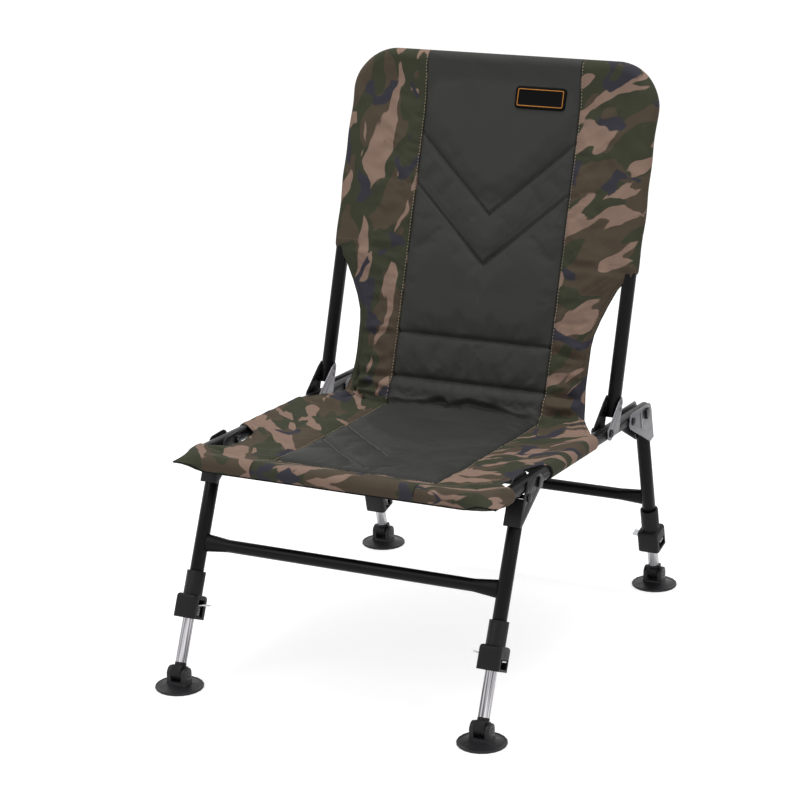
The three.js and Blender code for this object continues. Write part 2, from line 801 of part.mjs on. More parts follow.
function addLegFrame(leg) {
  const { name, way, slant, offset } = leg;
  const pivot_height = seat_front_height - leg.setback * Math.sin(seat_fall_angle);
  const rise = pivot_height - foot_pin_height + offset * Math.sin(leg.lean);
  const reach = rise / Math.cos(leg.lean);
  leg.stop = [
    way * (leg.stop_lead * Math.cos(slant) + leg.stop_rise * Math.sin(slant)),
    leg.stop_rise * Math.cos(slant) - leg.stop_lead * Math.sin(slant),
  ];
  const frame = new THREE.Group();
  frame.name = `${name}_legs_pivot`;
  frame.position.set(0, leg.setback, 0);
  frame.rotation.x = seat_fall_angle + way * leg.lean;
  seat.add(frame);

  const y = way * offset;
  const under_rail = (offset + tube_radius) * Math.tan(slant) + tube_radius / Math.cos(slant);
  const tube_top = -under_rail - 2 * bolt_radius - 2 * touch_gap;
  const collar_level = leg.collar_rise - reach;
  const tube_bottom = collar_level + collar_tube_seat + touch_gap;
  addPiece(frame, `${name}_crossbar`, crossbar(y, leg.crossbar_drop), coated_steel);
  for (const side of [-1, 1]) {
    const label = `${name}_${sideName(side)}`;
    const x = side * rail_x;
    const at = (geometry, height) => geometry.translate(x, y, height);
    const tube = at(pipe(tube_radius, tube_bore, tube_bottom, tube_top), 0);
    addPiece(frame, `leg_tube_${label}`, tube, coated_steel);
    addPiece(frame, `leg_bracket_${label}`, bracket(leg).translate(x, 0, 0), pressed_steel);
    const pivot_bolt = boltAcross(side, leg.pivot_head).translate(x, 0, 0);
    addPiece(frame, `leg_pivot_bolt_${label}`, pivot_bolt, leg.pivot_finish);
    const stop_bolt = boltAcross(side, leg.stop_head).translate(x, ...leg.stop);
    addPiece(frame, `leg_stop_bolt_${label}`, stop_bolt, leg.stop_finish);

    addPiece(frame, `lock_collar_${label}`, at(collar().scale(side, 1, 1), collar_level), nylon);
    const hinge = new THREE.Group();
    hinge.name = `lock_hinge_${label}`;
    hinge.position.set(x + side * plate_hinge_x, y, collar_level + plate_hinge_height);
    hinge.rotation.y = side * plate_tilt;
    frame.add(hinge);
    addPiece(hinge, `lock_plate_${label}`, lockPlate().scale(side, 1, 1), zinc);
    const coil = lockSpring().translate(-side * spring_x, 0, 0);
    addPiece(frame, `lock_spring_${label}`, at(coil, collar_level), zinc);

    const shank = new THREE.Group();
    shank.name = `foot_pivot_${label}`;
    shank.position.set(x, y, -reach);
    frame.add(shank);
    const from = knuckle_flange_start + knuckle_flange_height + touch_gap;
    const bore = inner_leg_radius - inner_leg_wall;
    const inner = pipe(inner_leg_radius, bore, from, from + inner_leg_length);
    addPiece(shank, `inner_leg_${label}`, inner, aluminium);
    addPiece(shank, `foot_knuckle_${label}`, knuckle(), nylon);
    const foot = new THREE.Group();
    foot.rotation.x = -way * leg.lean;
    shank.add(foot);
    addPiece(foot, `foot_disc_${label}`, footDisc(), foot_plastic);
    addPiece(foot, `foot_pin_${label}`, footPin(), dark_zinc);
  }
}

for (const leg of leg_frames) addLegFrame(leg);

// Backrest, in a frame at its pivot whose Z runs up the posts
const back = new THREE.Group();
back.name = 'backrest_pivot';
back.position.set(0, back_pivot_setback, back_pivot_rise);
back.rotation.x = seat_fall_angle - back_recline;
seat.add(back);

const post_top = back_post_start + back_height;
const toBack = (x, along) => new THREE.Vector3(x, back_post_offset, post_top - along);
const back_route = uRoute(rail_x, back_height, back_bend_radius, 0, toBack);
addPiece(back, 'backrest_frame', tubeAlong(back_route, tube_radius, tube_bore), coated_steel);

function backCheek() {
  const shape = new THREE.Shape();
  const tip = back_cheek_tip_radius;
  const front = back_post_offset - tube_radius;
  shape.absarc(0, 0, tip, 2 * quarter - quarter / 4, 4 * quarter - quarter / 3, false);
  shape.lineTo(back_cheek_width, tip / 2);
  shape.lineTo(back_cheek_width, back_cheek_top - tip / 2);
  shape.lineTo(back_cheek_width - tip / 2, back_cheek_top);
  shape.lineTo(front, back_cheek_shoulder);
  shape.closePath();
  return shape;
}

// The head of a rivet that holds a cheek to its post, on the cheek's outer face
function rivetHead(rise) {
  const profile = [
    [0, cheek_outer - cheek_thickness / 2],
    [rivet_radius, cheek_outer - cheek_thickness / 2],
    [rivet_radius, cheek_outer + rivet_height / 2],
    [rivet_radius / 2, cheek_outer + rivet_height],
    [0, cheek_outer + rivet_height],
  ];
  return acrossX(turned(profile, small_sides)).translate(0, back_post_offset - rivet_inset, rise);
}

for (const side of [-1, 1]) {
  for (const face of [-1, 1]) {
    const reach = cheek_outer + cut_overrun;
    const plate = plateAcross(backCheek(), cheek_inner, cheek_outer);
    const rivets = [rivetHead(low_rivet_rise), rivetHead(low_rivet_rise + rivet_spacing)];
    const hole = acrossX(rod(bolt_hole, -reach, reach));
    const cheek = carve([plate, ...rivets], [hole]).scale(face, 1, 1).translate(side * rail_x, 0, 0);
    const place = side === face ? 'outer' : 'inner';
    addPiece(back, `backrest_cheek_${sideName(side)}_${place}`, cheek, pressed_steel);
  }
  const bolt = boltAcross(side, roundHead).translate(side * rail_x, 0, 0);
  addPiece(back, `backrest_pivot_bolt_${sideName(side)}`, bolt, dark_zinc);
}

// Fabric: a sheet whose edges are sleeves round the tubes, padded between the two seams.
// A row has its place at the sides, the depth of its vee in the panel, and its crown, its groove
// and how far it wraps the front or top tube, as shares.
const sheet_edge_share = 0.35;
const padding_share = 0.5;
const full_crown_share = 0.4;
const panel_place_shares = [0.35, 0.72, 0.95];
const lap_angle = 150 * degree;

function sheetHeight(x) {
  const share = Math.abs(x) / (rail_x - 2 * tube_radius);
  return -panel_drop + (panel_drop + sleeve_radius * sheet_edge_share) * share ** 3;
}

// Points of one row, from the left sleeve over the top to the right sleeve and back underneath.
function fabricRow(row) {
  const inner = rail_x - 2 * tube_radius;
  const panel = panel_place_shares.map((share) => share * panel_half_width);
  const beyond = panel_half_width + groove_half_width;
  const half_top = [0, ...panel, panel_half_width, beyond, (beyond + inner) / 2, inner];
  const half_bottom = [0, panel_half_width / 2, panel_half_width, inner];
  const nose = row.nose_share ?? 1;
  const band = row.band_share ?? 0;
  const crown = full_crown_share * (row.crown_share ?? 1);
  const vee = (x) => (row.vee ?? 0) * Math.max(1 - Math.abs(x) / panel_half_width, 0);
  const bow = (x) => touch_gap * (Math.abs(x) / inner) ** 2;
  const top = (x) => {
    const share = Math.abs(x) / panel_half_width;
    let height = sheetHeight(x);
    if (share < 1) height += groove_depth * (crown * (1 - share ** 4) + padding_share);
    if (share < 1) height -= groove_depth * (row.groove_share ?? 0);
    if (share === 1) height -= groove_depth * padding_share;
    return nose * (height * (1 - band) + (sleeve_radius - bow(x)) * band);
  };
  const bottom = (x) => {
    const thickness = Math.abs(x) < inner ? panel_thickness - groove_depth : sheet_thickness;
    const height = sheetHeight(x) - thickness;
    return nose * (height * (1 - band) - (sleeve_radius - bow(x)) * band);
  };
  const points = [];
  const put = (x, height) => points.push([x, row.at - vee(x), height]);
  const round = (side) => {
    for (let step = 0; step <= sleeve_steps; step += 1) {
      const share = side > 0 ? step / sleeve_steps : 1 - step / sleeve_steps;
      const angle = lap_angle * (1 - 2 * share);
      put(side * (rail_x + sleeve_radius * Math.cos(angle)), nose * sleeve_radius * Math.sin(angle));
    }
  };
  for (const x of half_top.slice(1).reverse()) put(-x, top(x));
  for (const x of half_top) put(x, top(x));
  round(1);
  for (const x of [...half_bottom].reverse()) put(x, bottom(x));
  for (const x of half_bottom.slice(1)) put(-x, bottom(x));
  round(-1);
  return points;
}

function groovedRows(places, vee) {
  const rows = [];
  places.forEach((place, index) => {
    if (index > 0) rows.push(puffedRow(places[index - 1], place, vee));
    rows.push({ at: place - groove_half_width, vee });
    rows.push({ at: place, vee, crown_share: 0, groove_share: 1 });
    rows.push({ at: place + groove_half_width, vee });
  });
  return rows;
}

// The row halfway between two seams, where the padding stands highest
function puffedRow(from, to, vee) {
  return { at: (from + to) / 2, vee, crown_share: puffed_share };
}

function fabric(rows, toPoint, flatten) {
  const toRing = (row) => fabricRow(row).map(([x, along, height]) => toPoint(x, along, height));
  return skinned(rows.map(toRing), flatten);
}

const puffed_share = 1.6;
const soft_crown_share = 0.5;
const least_nose_share = 0.2;
const nose_angle_shares = [0.15, 0.6, 0.9];
const front_rows = nose_angle_shares.map((share) => ({
  at: -sleeve_radius * Math.cos(share * quarter),
  nose_share: Math.max(Math.sin(share * quarter), least_nose_share),
  band_share: 1,
}));
const seat_unwrap_shares = [
  [0, 1],
  [0.8, 0.75],
  [1.5, 0.4],
];
const seat_rows = [
  ...front_rows,
  ...seat_unwrap_shares.map(([place, band_share]) => ({ at: place * sleeve_radius, band_share })),
  { at: front_band_width - groove_half_width, crown_share: 0 },
  { at: front_band_width, crown_share: 0, groove_share: 1 },
  { at: front_band_width + groove_half_width },
  puffedRow(front_band_width, seat_chevrons[0], chevron_depth / 2),
  ...groovedRows(seat_chevrons, chevron_depth),
  puffedRow(seat_chevrons[1], seat_panel_end, chevron_depth / 2),
  { at: seat_panel_end - groove_half_width, crown_share: soft_crown_share },
  { at: seat_panel_end, crown_share: 0 },
];

// A prism that cuts the fabric, from an outline drawn on its plane.
function fabricCutter(points, toPoint) {
  const reach = 3 * sleeve_radius;
  const rings = [-reach, reach].map((height) => points.map(([x, along]) => toPoint(x, along, height)));
  return skinned(rings, (point) => new THREE.Vector2(point.x, point.y + point.z));
}

const outside = rail_x + 2 * sleeve_radius;
const rear_notch_shares = [
  [0.66, 0.3],
  [0.34, 0.8],
];
const toSeatFabric = (x, along, height) => new THREE.Vector3(x, along, height);

function seatCuts(side) {
  const notch = rail_x - front_notch_inner;
  const front_notch = [
    [outside, front_sleeve_end],
    [rail_x, front_sleeve_end],
    [notch, front_sleeve_end + front_notch_inner],
    [notch, side_sleeve_start - front_notch_inner],
    [rail_x, side_sleeve_start],
    [outside, side_sleeve_start],
  ];
  const taper = rail_x - waist_half_width;
  const rear_curve = rear_notch_shares.map(([x, along]) => [
    waist_half_width + taper * x,
    side_sleeve_end + waist_taper * along,
  ]);
  const rear_notch = [
    [outside, side_sleeve_end],
    [rail_x - tube_radius, side_sleeve_end],
    ...rear_curve,
    [waist_half_width, seat_panel_end + cut_overrun],
    [outside, seat_panel_end + cut_overrun],
  ];
  const mirrored = (points) => points.map(([x, along]) => [side * x, along]);
  return [front_notch, rear_notch].map((points) => fabricCutter(mirrored(points), toSeatFabric));
}

const seat_hollow = uRoute(rail_x, seat_rail_length + cut_overrun, seat_bend_radius, 0, toSeat);
const seat_fabric = carve(
  [fabric(seat_rows, toSeatFabric, (point) => new THREE.Vector2(point.x, point.z))],
  [tubeAlong(seat_hollow, sleeve_bore, 0, tube_sides), ...seatCuts(-1), ...seatCuts(1)],
);
addPiece(seat, 'seat_fabric', seat_fabric, camouflage);

// Backrest fabric: height is measured forward from the posts' plane, places up from their lower ends
const toBackFabric = (x, along, height) =>
  new THREE.Vector3(x, back_post_offset - height, back_post_start + along);
const top_wrap_shares = [
  [2, 0],
  [1, 0.6],
  [0, 1],
];
const back_top = back_height + sleeve_radius;
const wrap_rows = top_wrap_shares.map(([place, band_share]) => ({
  at: back_height - place * sleeve_radius,
  band_share,
}));
const back_rows = [
  { at: back_fabric_start, crown_share: 0 },
  { at: back_fabric_start + groove_half_width, crown_share: soft_crown_share },
  ...groovedRows(lumbar_seams, 0),
  puffedRow(lumbar_seams[1], back_chevrons[0], chevron_depth / 2),
  ...groovedRows(back_chevrons, chevron_depth),
  ...wrap_rows,
  ...[...front_rows].reverse().map((row) => ({ ...row, at: back_height - row.at })),
];

const back_corner = back_bend_radius + sleeve_radius;
function cornerCut(side) {
  const points = [];
  const x = rail_x - back_bend_radius;
  const along = back_height - back_bend_radius;
  for (let step = 0; step <= bend_steps; step += 1) {
    const angle = (step / bend_steps) * quarter;
    points.push([side * (x + back_corner * Math.cos(angle)), along + back_corner * Math.sin(angle)]);
  }
  points.push([side * x, back_top + cut_overrun]);
  points.push([side * outside, back_top + cut_overrun]);
  points.push([side * outside, along]);
  return points;
}

// The waist's cut edge: places out from the waist, and up from where the side sleeves start
const waist_curve_shares = [
  [1, 0.07],
  [0.86, -0.06],
  [0.69, -0.14],
  [0.4, -0.24],
  [0.16, -0.4],
  [0.02, -0.55],
  [0, -0.75],
  [0.06, -0.95],
  [0.1, -1.1],
];

function waistCut(side) {
  const reach = rail_x + tube_radius - waist_half_width;
  const points = waist_curve_shares.map(([x, along]) => [
    side * (waist_half_width + reach * x),
    back_sleeve_start * (1 + along),
  ]);
  points.unshift([side * outside, points[0][1]]);
  points.push([side * outside, points[points.length - 1][1]]);
  return points;
}

const back_cuts = [-1, 1].flatMap((side) => [waistCut(side), cornerCut(side)]);
const back_hollow = uRoute(rail_x, back_height + cut_overrun, back_bend_radius, 0, toBack);
const back_cutters = back_cuts.map((points) => fabricCutter(points, toBackFabric));
const back_fabric = carve(
  [fabric(back_rows, toBackFabric, (point) => new THREE.Vector2(point.x, point.y))],
  [tubeAlong(back_hollow, sleeve_bore, 0, tube_sides), ...back_cutters],
);
addPiece(back, 'back_fabric', back_fabric, camouflage);

// A plain patch on the panel, on the right near the top
const badge_rise = groove_depth * (full_crown_share + padding_share) - panel_drop + 2 * touch_gap;
const badge_back = back_post_offset - badge_rise;
const badge_middle = post_top - badge_drop;
const badge = box(
  [badge_side - badge_width / 2, badge_back - badge_thickness, badge_middle - badge_height / 2],
  [badge_side + badge_width / 2, badge_back, badge_middle + badge_height / 2],
);
addPiece(back, 'badge_patch', badge, rubber);

console.log(`lock springs: least gap between turns ${springLeastGap().toFixed(2)} mm`);

// Stand the chair on the floor with its box centred on the origin.
chair.updateMatrixWorld(true);
const bounds = new THREE.Box3().setFromObject(chair, true);
chair.position.y = -(bounds.min.y + bounds.max.y) / 2;
chair.updateMatrixWorld(true);

export default chair;
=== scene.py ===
import math

import bpy
import numpy as np
from mathutils import Matrix, Vector


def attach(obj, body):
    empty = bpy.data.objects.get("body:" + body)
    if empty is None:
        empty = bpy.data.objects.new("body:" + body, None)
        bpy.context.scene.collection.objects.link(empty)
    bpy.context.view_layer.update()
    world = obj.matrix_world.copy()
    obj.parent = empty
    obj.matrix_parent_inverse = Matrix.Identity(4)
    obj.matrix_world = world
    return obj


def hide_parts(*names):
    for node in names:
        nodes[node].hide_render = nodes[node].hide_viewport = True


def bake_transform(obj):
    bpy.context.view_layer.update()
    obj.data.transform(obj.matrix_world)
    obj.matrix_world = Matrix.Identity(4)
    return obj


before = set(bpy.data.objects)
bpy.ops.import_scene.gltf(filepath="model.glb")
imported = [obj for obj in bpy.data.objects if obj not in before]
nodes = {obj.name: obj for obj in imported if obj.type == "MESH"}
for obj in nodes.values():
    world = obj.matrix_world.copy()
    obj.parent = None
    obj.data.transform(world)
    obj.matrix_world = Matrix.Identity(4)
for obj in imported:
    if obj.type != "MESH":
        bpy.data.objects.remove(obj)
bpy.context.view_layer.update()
MM = 0.001


# Materials
def linear(hex_colour):
    """An sRGB hex colour as linear RGBA."""
    parts = [int(hex_colour[i : i + 2], 16) / 255 for i in (1, 3, 5)]
    return (*[c / 12.92 if c <= 0.04045 else ((c + 0.055) / 1.055) ** 2.4 for c in parts], 1)


def node(tree, kind, settings, out=0):
    """Adds a node with its settings and links, and gives one of its outputs."""
    made = tree.nodes.new(kind)
    for name, value in settings.items():
        if name == "stops":
            elements = made.color_ramp.elements
            while len(elements) < len(value):
                elements.new(0.5)
            for element, (place, colour) in zip(elements, value):
                element.position = place
                element.color = colour if isinstance(colour, tuple) else (colour, colour, colour, 1)
        elif isinstance(name, str) and hasattr(made, name):
            setattr(made, name, value)
        elif isinstance(value, bpy.types.NodeSocket):
            tree.links.new(value, made.inputs[name])
        else:
            made.inputs[name].default_value = value
    return made.outputs[out]


def new_material(name, **settings):
    """A material and its shader, with the values that are the same all over the surface."""
    made = bpy.data.materials.new(name)
    made.use_nodes = True
    shader = made.node_tree.nodes["Principled BSDF"]
    for socket, value in settings.items():
        shader.inputs[socket.replace("_", " ")].default_value = value
    return made, made.node_tree, shader


def wire(tree, shader, **sources):
    """Links outputs to the shader's sockets."""
    for socket, source in sources.items():
        tree.links.new(source, shader.inputs[socket.replace("_", " ")])


def clouded(tree, marks, stops):
    """Cloudy marks, and a colour or value read from them between stops."""
    cloud = node(tree, "ShaderNodeTexNoise", marks)
    tones = [(at, linear(tone) if isinstance(tone, str) else tone) for at, tone in stops]
    return cloud, node(tree, "ShaderNodeValToRGB", {"Fac": cloud, "stops": tones})


def weave(tree, place, thread):
    """Height of a plain weave whose threads lie `thread` metres apart."""
    scaled = {"operation": "SCALE", 0: place, "Scale": math.pi / thread}
    turns = node(tree, "ShaderNodeVectorMath", scaled)
    waves = node(tree, "ShaderNodeVectorMath", {"operation": "SINE", 0: turns})
    warp, weft, _ = node(tree, "ShaderNodeSeparateXYZ", {"Vector": waves}).node.outputs
    crossed = node(tree, "ShaderNodeMath", {"operation": "MULTIPLY", 0: warp, 1: weft})
    return node(tree, "ShaderNodeMath", {"operation": "MULTIPLY_ADD", 0: crossed, 1: 0.5, 2: 0.5})


def woven_finish(tree, shader, colour, thread, strength, seam_shade):
    """Finishes a cloth: its weave, drawn coarser than the real 0.4 mm threads so that it shows at
    all, and painted shade that darkens it where it is sewn down and in its folds."""
    place = node(tree, "ShaderNodeUVMap", {"uv_map": "cloth"})
    threads = weave(tree, place, thread)
    over = {"data_type": "RGBA", "blend_type": "OVERLAY", 0: 0.2, 6: colour, 7: threads}
    mixed = node(tree, "ShaderNodeMix", over, 2)
    # the sewn attribute holds painted shade: along the seams and in the hollows of the folds
    sewn = node(tree, "ShaderNodeAttribute", {"attribute_name": "sewn"}, "Fac")
    stops = [(0.35, 0.0), (0.95, seam_shade)]
    shade = node(tree, "ShaderNodeValToRGB", {"Fac": sewn, "stops": stops})
    # painted shade: the colour is mixed towards near black by the sewn attribute
    darker = {"data_type": "RGBA", 0: shade, 6: mixed, 7: linear("#0D0D0E")}
    darkened = node(tree, "ShaderNodeMix", darker, 2)
    relief = {"Height": threads, "Strength": strength, "Distance": 0.00025}
    wire(tree, shader, Base_Color=darkened, Normal=node(tree, "ShaderNodeBump", relief))


def printed_polyester():
    """Polyester cloth, plain woven and screen printed in four colours: matt, with crisp edges
    between brown, green, tan and charcoal shapes that run along the cloth."""
    finish = {"Roughness": 0.82, "Specular_IOR_Level": 0.16}
    made, tree, shader = new_material("screen_printed_polyester", **finish)
    place = node(tree, "ShaderNodeUVMap", {"uv_map": "print"})
    marks = {"Vector": place, "Scale": 24.0, "Detail": 1.5}
    wander = node(tree, "ShaderNodeTexNoise", marks, "Color")
    shift = node(tree, "ShaderNodeVectorMath", {"operation": "SCALE", 0: wander, "Scale": 0.019})
    bent = node(tree, "ShaderNodeVectorMath", {"operation": "ADD", 0: place, 1: shift})
    # for each screen: shapes per metre across and along, its start, and where its ink begins
    branch_edges = [(0.45, 0.0), (0.458, 1.0), (0.542, 1.0), (0.55, 0.0)]
    screens = {
        "green": ((21, 9.5, 1), (3.1, 1.7, 0), [(0.49, 0.0), (0.5, 1.0)]),
        "tan": ((33, 10.5, 1), (11.3, 5.2, 0), [(0.55, 0.0), (0.558, 1.0)]),
        "branch": ((13, 10, 1), (23.9, 9.4, 0), branch_edges),
        "patch": ((17, 12, 1), (41.2, 3.3, 0), [(0.53, 0.0), (0.54, 1.0)]),
    }
    ink = {}
    for name, (scale, start, stops) in screens.items():
        laid = node(tree, "ShaderNodeMapping", {"Vector": bent, "Scale": scale, "Location": start})
        shapes = {"Vector": laid, "Scale": 1.0, "Detail": 1.6, "Roughness": 0.48}
        _, ink[name] = clouded(tree, {**shapes, "Distortion": 0.35}, stops)
    branches = {"operation": "MINIMUM", 0: ink["branch"], 1: ink["patch"]}
    ink["charcoal"] = node(tree, "ShaderNodeMath", branches)
    colour = linear("#50463A")
    for name, tone in (("green", "#3D3F31"), ("tan", "#8D7568"), ("charcoal", "#38373F")):
        layer = {"data_type": "RGBA", 0: ink[name], 6: colour, 7: linear(tone)}
        colour = node(tree, "ShaderNodeMix", layer, 2)
    fading = {"Vector": place, "Scale": 40.0, "Detail": 3.0}
    _, worn = clouded(tree, fading, [(0.3, 0.42), (0.7, 0.58)])
    age = {"data_type": "RGBA", "blend_type": "OVERLAY", 0: 0.3, 6: colour, 7: worn}
    woven_finish(tree, shader, node(tree, "ShaderNodeMix", age, 2), 0.9 * MM, 0.2, 0.75)
    return made


def coated_oxford():
    """Oxford polyester with a rubbed coating, dark grey green: even, semi-matt, slightly cloudy."""
    made, tree, shader = new_material("coated_oxford_polyester", Specular_IOR_Level=0.2)
    place = node(tree, "ShaderNodeUVMap", {"uv_map": "cloth"})
    marks = {"Vector": place, "Scale": 18.0, "Detail": 4.0, "Roughness": 0.6}
    cloud, colour = clouded(tree, marks, [(0.25, "#31322F"), (0.75, "#373835")])
    gloss = node(tree, "ShaderNodeValToRGB", {"Fac": cloud, "stops": [(0.2, 0.54), (0.8, 0.66)]})
    wire(tree, shader, Roughness=gloss)
    woven_finish(tree, shader, colour, 0.8 * MM, 0.25, 0.85)
    return made


def backing_polyester():
    """Black polyester cloth, coarsely woven, behind the foam and round the cut edges: dull."""
    finish = {"Roughness": 0.88, "Specular_IOR_Level": 0.15}
    made, tree, shader = new_material("woven_black_polyester", **finish)
    place = node(tree, "ShaderNodeUVMap", {"uv_map": "cloth"})
    marks = {"Vector": place, "Scale": 25.0, "Detail": 3.0}
    _, colour = clouded(tree, marks, [(0.3, "#161617"), (0.7, "#1E1E1F")])
    woven_finish(tree, shader, colour, 1.4 * MM, 0.35, 0.5)
    return made


def sewing_thread(name, light, dark):
    """Bonded polyester thread, twisted: the plies catch a little light."""
    made, tree, shader = new_material(name, Roughness=0.6, Specular_IOR_Level=0.3)
    place = node(tree, "ShaderNodeTexCoord", {}, "Object")
    plies = {"Vector": place, "Scale": 1800.0, "Detail": 1.0}
    _, colour = clouded(tree, plies, [(0.35, dark), (0.65, light)])
    wire(tree, shader, Base_Color=colour)
    return made


def powder_coated_steel():
    """Steel tube, powder coated black: satin, with fine orange peel and a little handling wear."""
    made, tree, shader = new_material("powder_coated_steel", Specular_IOR_Level=0.13)
    place = node(tree, "ShaderNodeTexCoord", {}, "Object")
    handling = {"Vector": place, "Scale": 28.0, "Detail": 5.0, "Roughness": 0.6}
    wear, colour = clouded(tree, handling, [(0.35, "#0B0A0C"), (0.75, "#121013")])
    peel = node(tree, "ShaderNodeTexNoise", {"Vector": place, "Scale": 900.0})
    gloss = node(tree, "ShaderNodeValToRGB", {"Fac": wear, "stops": [(0.3, 0.28), (0.75, 0.42)]})
    normal = node(tree, "ShaderNodeBump", {"Height": peel, "Strength": 0.1, "Distance": 0.0002})
    wire(tree, shader, Base_Color=colour, Roughness=gloss, Normal=normal)
    return made


def pressed_steel(name, body, worn_highlit_edge, **finish):
    """Steel plate, pressed and then coated: even, but paler in fine rolling marks and along its
    edges, where a painted highlight lies over a little rubbing wear."""
    made, tree, shader = new_material(name, **finish)
    place = node(tree, "ShaderNodeTexCoord", {}, "Object")
    stretched = node(tree, "ShaderNodeMapping", {"Vector": place, "Scale": (1, 0.35, 1)})
    rolled = {"Vector": stretched, "Scale": 240.0, "Detail": 6.0, "Roughness": 0.7}
    scuff, marks = clouded(tree, rolled, [(0.55, 0.0), (0.8, 0.4)])
    # paler along convex edges: painted highlight, with some rubbing wear
    edge = node(tree, "ShaderNodeNewGeometry", {}, "Pointiness")
    rubbed = node(tree, "ShaderNodeValToRGB", {"Fac": edge, "stops": [(0.52, 0.0), (0.6, 0.7)]})
    share = node(tree, "ShaderNodeMath", {"operation": "MAXIMUM", 0: marks, 1: rubbed})
    tones = {"data_type": "RGBA", 0: share, 6: linear(body), 7: linear(worn_highlit_edge)}
    colour = node(tree, "ShaderNodeMix", tones, 2)
    gloss = node(tree, "ShaderNodeValToRGB", {"Fac": scuff, "stops": [(0.3, 0.28), (0.7, 0.44)]})
    normal = node(tree, "ShaderNodeBump", {"Height": scuff, "Strength": 0.08, "Distance": 0.0002})
    wire(tree, shader, Base_Color=colour, Roughness=gloss, Normal=normal)
    return made


def zinc_plated_steel(name, dark, light, roughness):
    """Steel, zinc plated: a metal whose plating crystals make small blotches."""
    made, tree, shader = new_material(name, Metallic=1.0)
    place = node(tree, "ShaderNodeTexCoord", {}, "Object")
    crystals = {"Vector": place, "Scale": 420.0, "Detail": 4.0, "Roughness": 0.6}
    blotch, colour = clouded(tree, crystals, [(0.3, dark), (0.65, light)])
    spread = [(0.25, roughness - 0.08), (0.75, roughness + 0.12)]
    gloss = node(tree, "ShaderNodeValToRGB", {"Fac": blotch, "stops": spread})
    normal = node(tree, "ShaderNodeBump", {"Height": blotch, "Strength": 0.06, "Distance": 0.0001})
    wire(tree, shader, Base_Color=colour, Roughness=gloss, Normal=normal)
    return made


def drawn_aluminium(name, lean, polish, colours):
    """Aluminium tube, drawn: bright, with darker and lighter streaks along its length, a painted
    reflection of its surroundings, and fine drawn lines in its gloss. The lines follow a leg that
    leans by that angle."""
    made, tree, shader = new_material(name, Metallic=polish)
    place = node(tree, "ShaderNodeTexCoord", {}, "Object")
    upright = node(tree, "ShaderNodeMapping", {"Vector": place, "Rotation": (lean, 0, 0)})
    along = node(tree, "ShaderNodeMapping", {"Vector": upright, "Scale": (380, 380, 7)})
    # painted reflection: streaks along the leg between the given tones
    reflection_streaks = {"Vector": along, "Scale": 1.0, "Detail": 2.0, "Roughness": 0.6}
    _, colour = clouded(tree, reflection_streaks, zip((0.36, 0.48, 0.64), colours))
    fine = node(tree, "ShaderNodeMapping", {"Vector": upright, "Scale": (1500, 1500, 20)})
    lines = {"Vector": fine, "Scale": 1.0}
    _, gloss = clouded(tree, lines, [(0.25, 0.18), (0.75, 0.32)])
    wire(tree, shader, Base_Color=colour, Roughness=gloss)
    return made


def moulded_plastic(name, low, high, roughness, grain, shine=0.22):
    """Plastic, injection moulded in a spark eroded tool: a fine grain under a soft shine."""
    made, tree, shader = new_material(name, Specular_IOR_Level=shine)
    place = node(tree, "ShaderNodeTexCoord", {}, "Object")
    marks = {"Vector": place, "Scale": 45.0, "Detail": 3.0}
    cloud, colour = clouded(tree, marks, [(0.3, low), (0.7, high)])
    texture = node(tree, "ShaderNodeTexNoise", {"Vector": place, "Scale": grain, "Detail": 3.0})
    spread = [(0.3, roughness - 0.06), (0.7, roughness + 0.08)]
    gloss = node(tree, "ShaderNodeValToRGB", {"Fac": cloud, "stops": spread})
    normal = node(tree, "ShaderNodeBump", {"Height": texture, "Strength": 0.2, "Distance": 0.0003})
    wire(tree, shader, Base_Color=colour, Roughness=gloss, Normal=normal)
    return made


camouflage = printed_polyester()
oxford = coated_oxford()
backing = backing_polyester()
tan_thread = sewing_thread("tan_polyester_thread", "#B9AC95", "#8F836F")
brown_thread = sewing_thread("brown_polyester_thread", "#857A69", "#5E574B")
# a lighter thread for the seat's vees: painted highlight
seat_highlight_thread = sewing_thread("polyester_thread_painted_highlight", "#8E8E8B", "#6A6A68")
black_thread = sewing_thread("black_polyester_thread", "#1C1B1B", "#0F0F10")
coated_tube = powder_coated_steel()
# one black coated plate in two copies: a grey metallic copy paints the bright reflection that some
# plates show, and a darker, duller copy paints the shade on the rest
lit_plate_copy = pressed_steel("black_plate_lit_copy", "#636165", "#8C8A8E", Metallic=0.85)
shaded_plate_copy = pressed_steel("black_plate_shaded_copy", "#100F11", "#4A484B", Specular_IOR_Level=0.18)
bright_zinc = zinc_plated_steel("bright_zinc_plated_steel", "#9C9DA0", "#D0D1D3", 0.3)
black_zinc = zinc_plated_steel("black_zinc_plated_bolt", "#2A292C", "#464548", 0.36)
# front legs: streak tones that paint a reflection; rear legs: a paler, less metallic copy of the
# same metal that paints them as more brightly lit
painted_reflection_tones, lit_copy_tones = ("#58565A", "#98969A", "#D2D0D3"), ("#CFCED1", "#DCDBDE", "#E6E5E8")
front_aluminium = drawn_aluminium("drawn_aluminium_front", math.radians(23.94), 1.0, painted_reflection_tones)
rear_aluminium = drawn_aluminium("drawn_aluminium_rear_lit_copy", math.radians(-13.5), 0.3, lit_copy_tones)
nylon = moulded_plastic("moulded_nylon", "#111011", "#171617", 0.48, 1500.0)
polypropylene = moulded_plastic("moulded_polypropylene", "#191719", "#232124", 0.42, 1100.0, 0.3)
patch_rubber = moulded_plastic("moulded_black_rubber", "#070607", "#0B0A0B", 0.6, 1300.0, 0.06)
patch_rim = moulded_plastic("moulded_orange_rubber", "#B0722A", "#C4853A", 0.5, 1300.0)


def add_object(name, data):
    """A new object in the scene."""
    made = bpy.data.objects.new(name, data)
    bpy.context.scene.collection.objects.link(made)
    return made


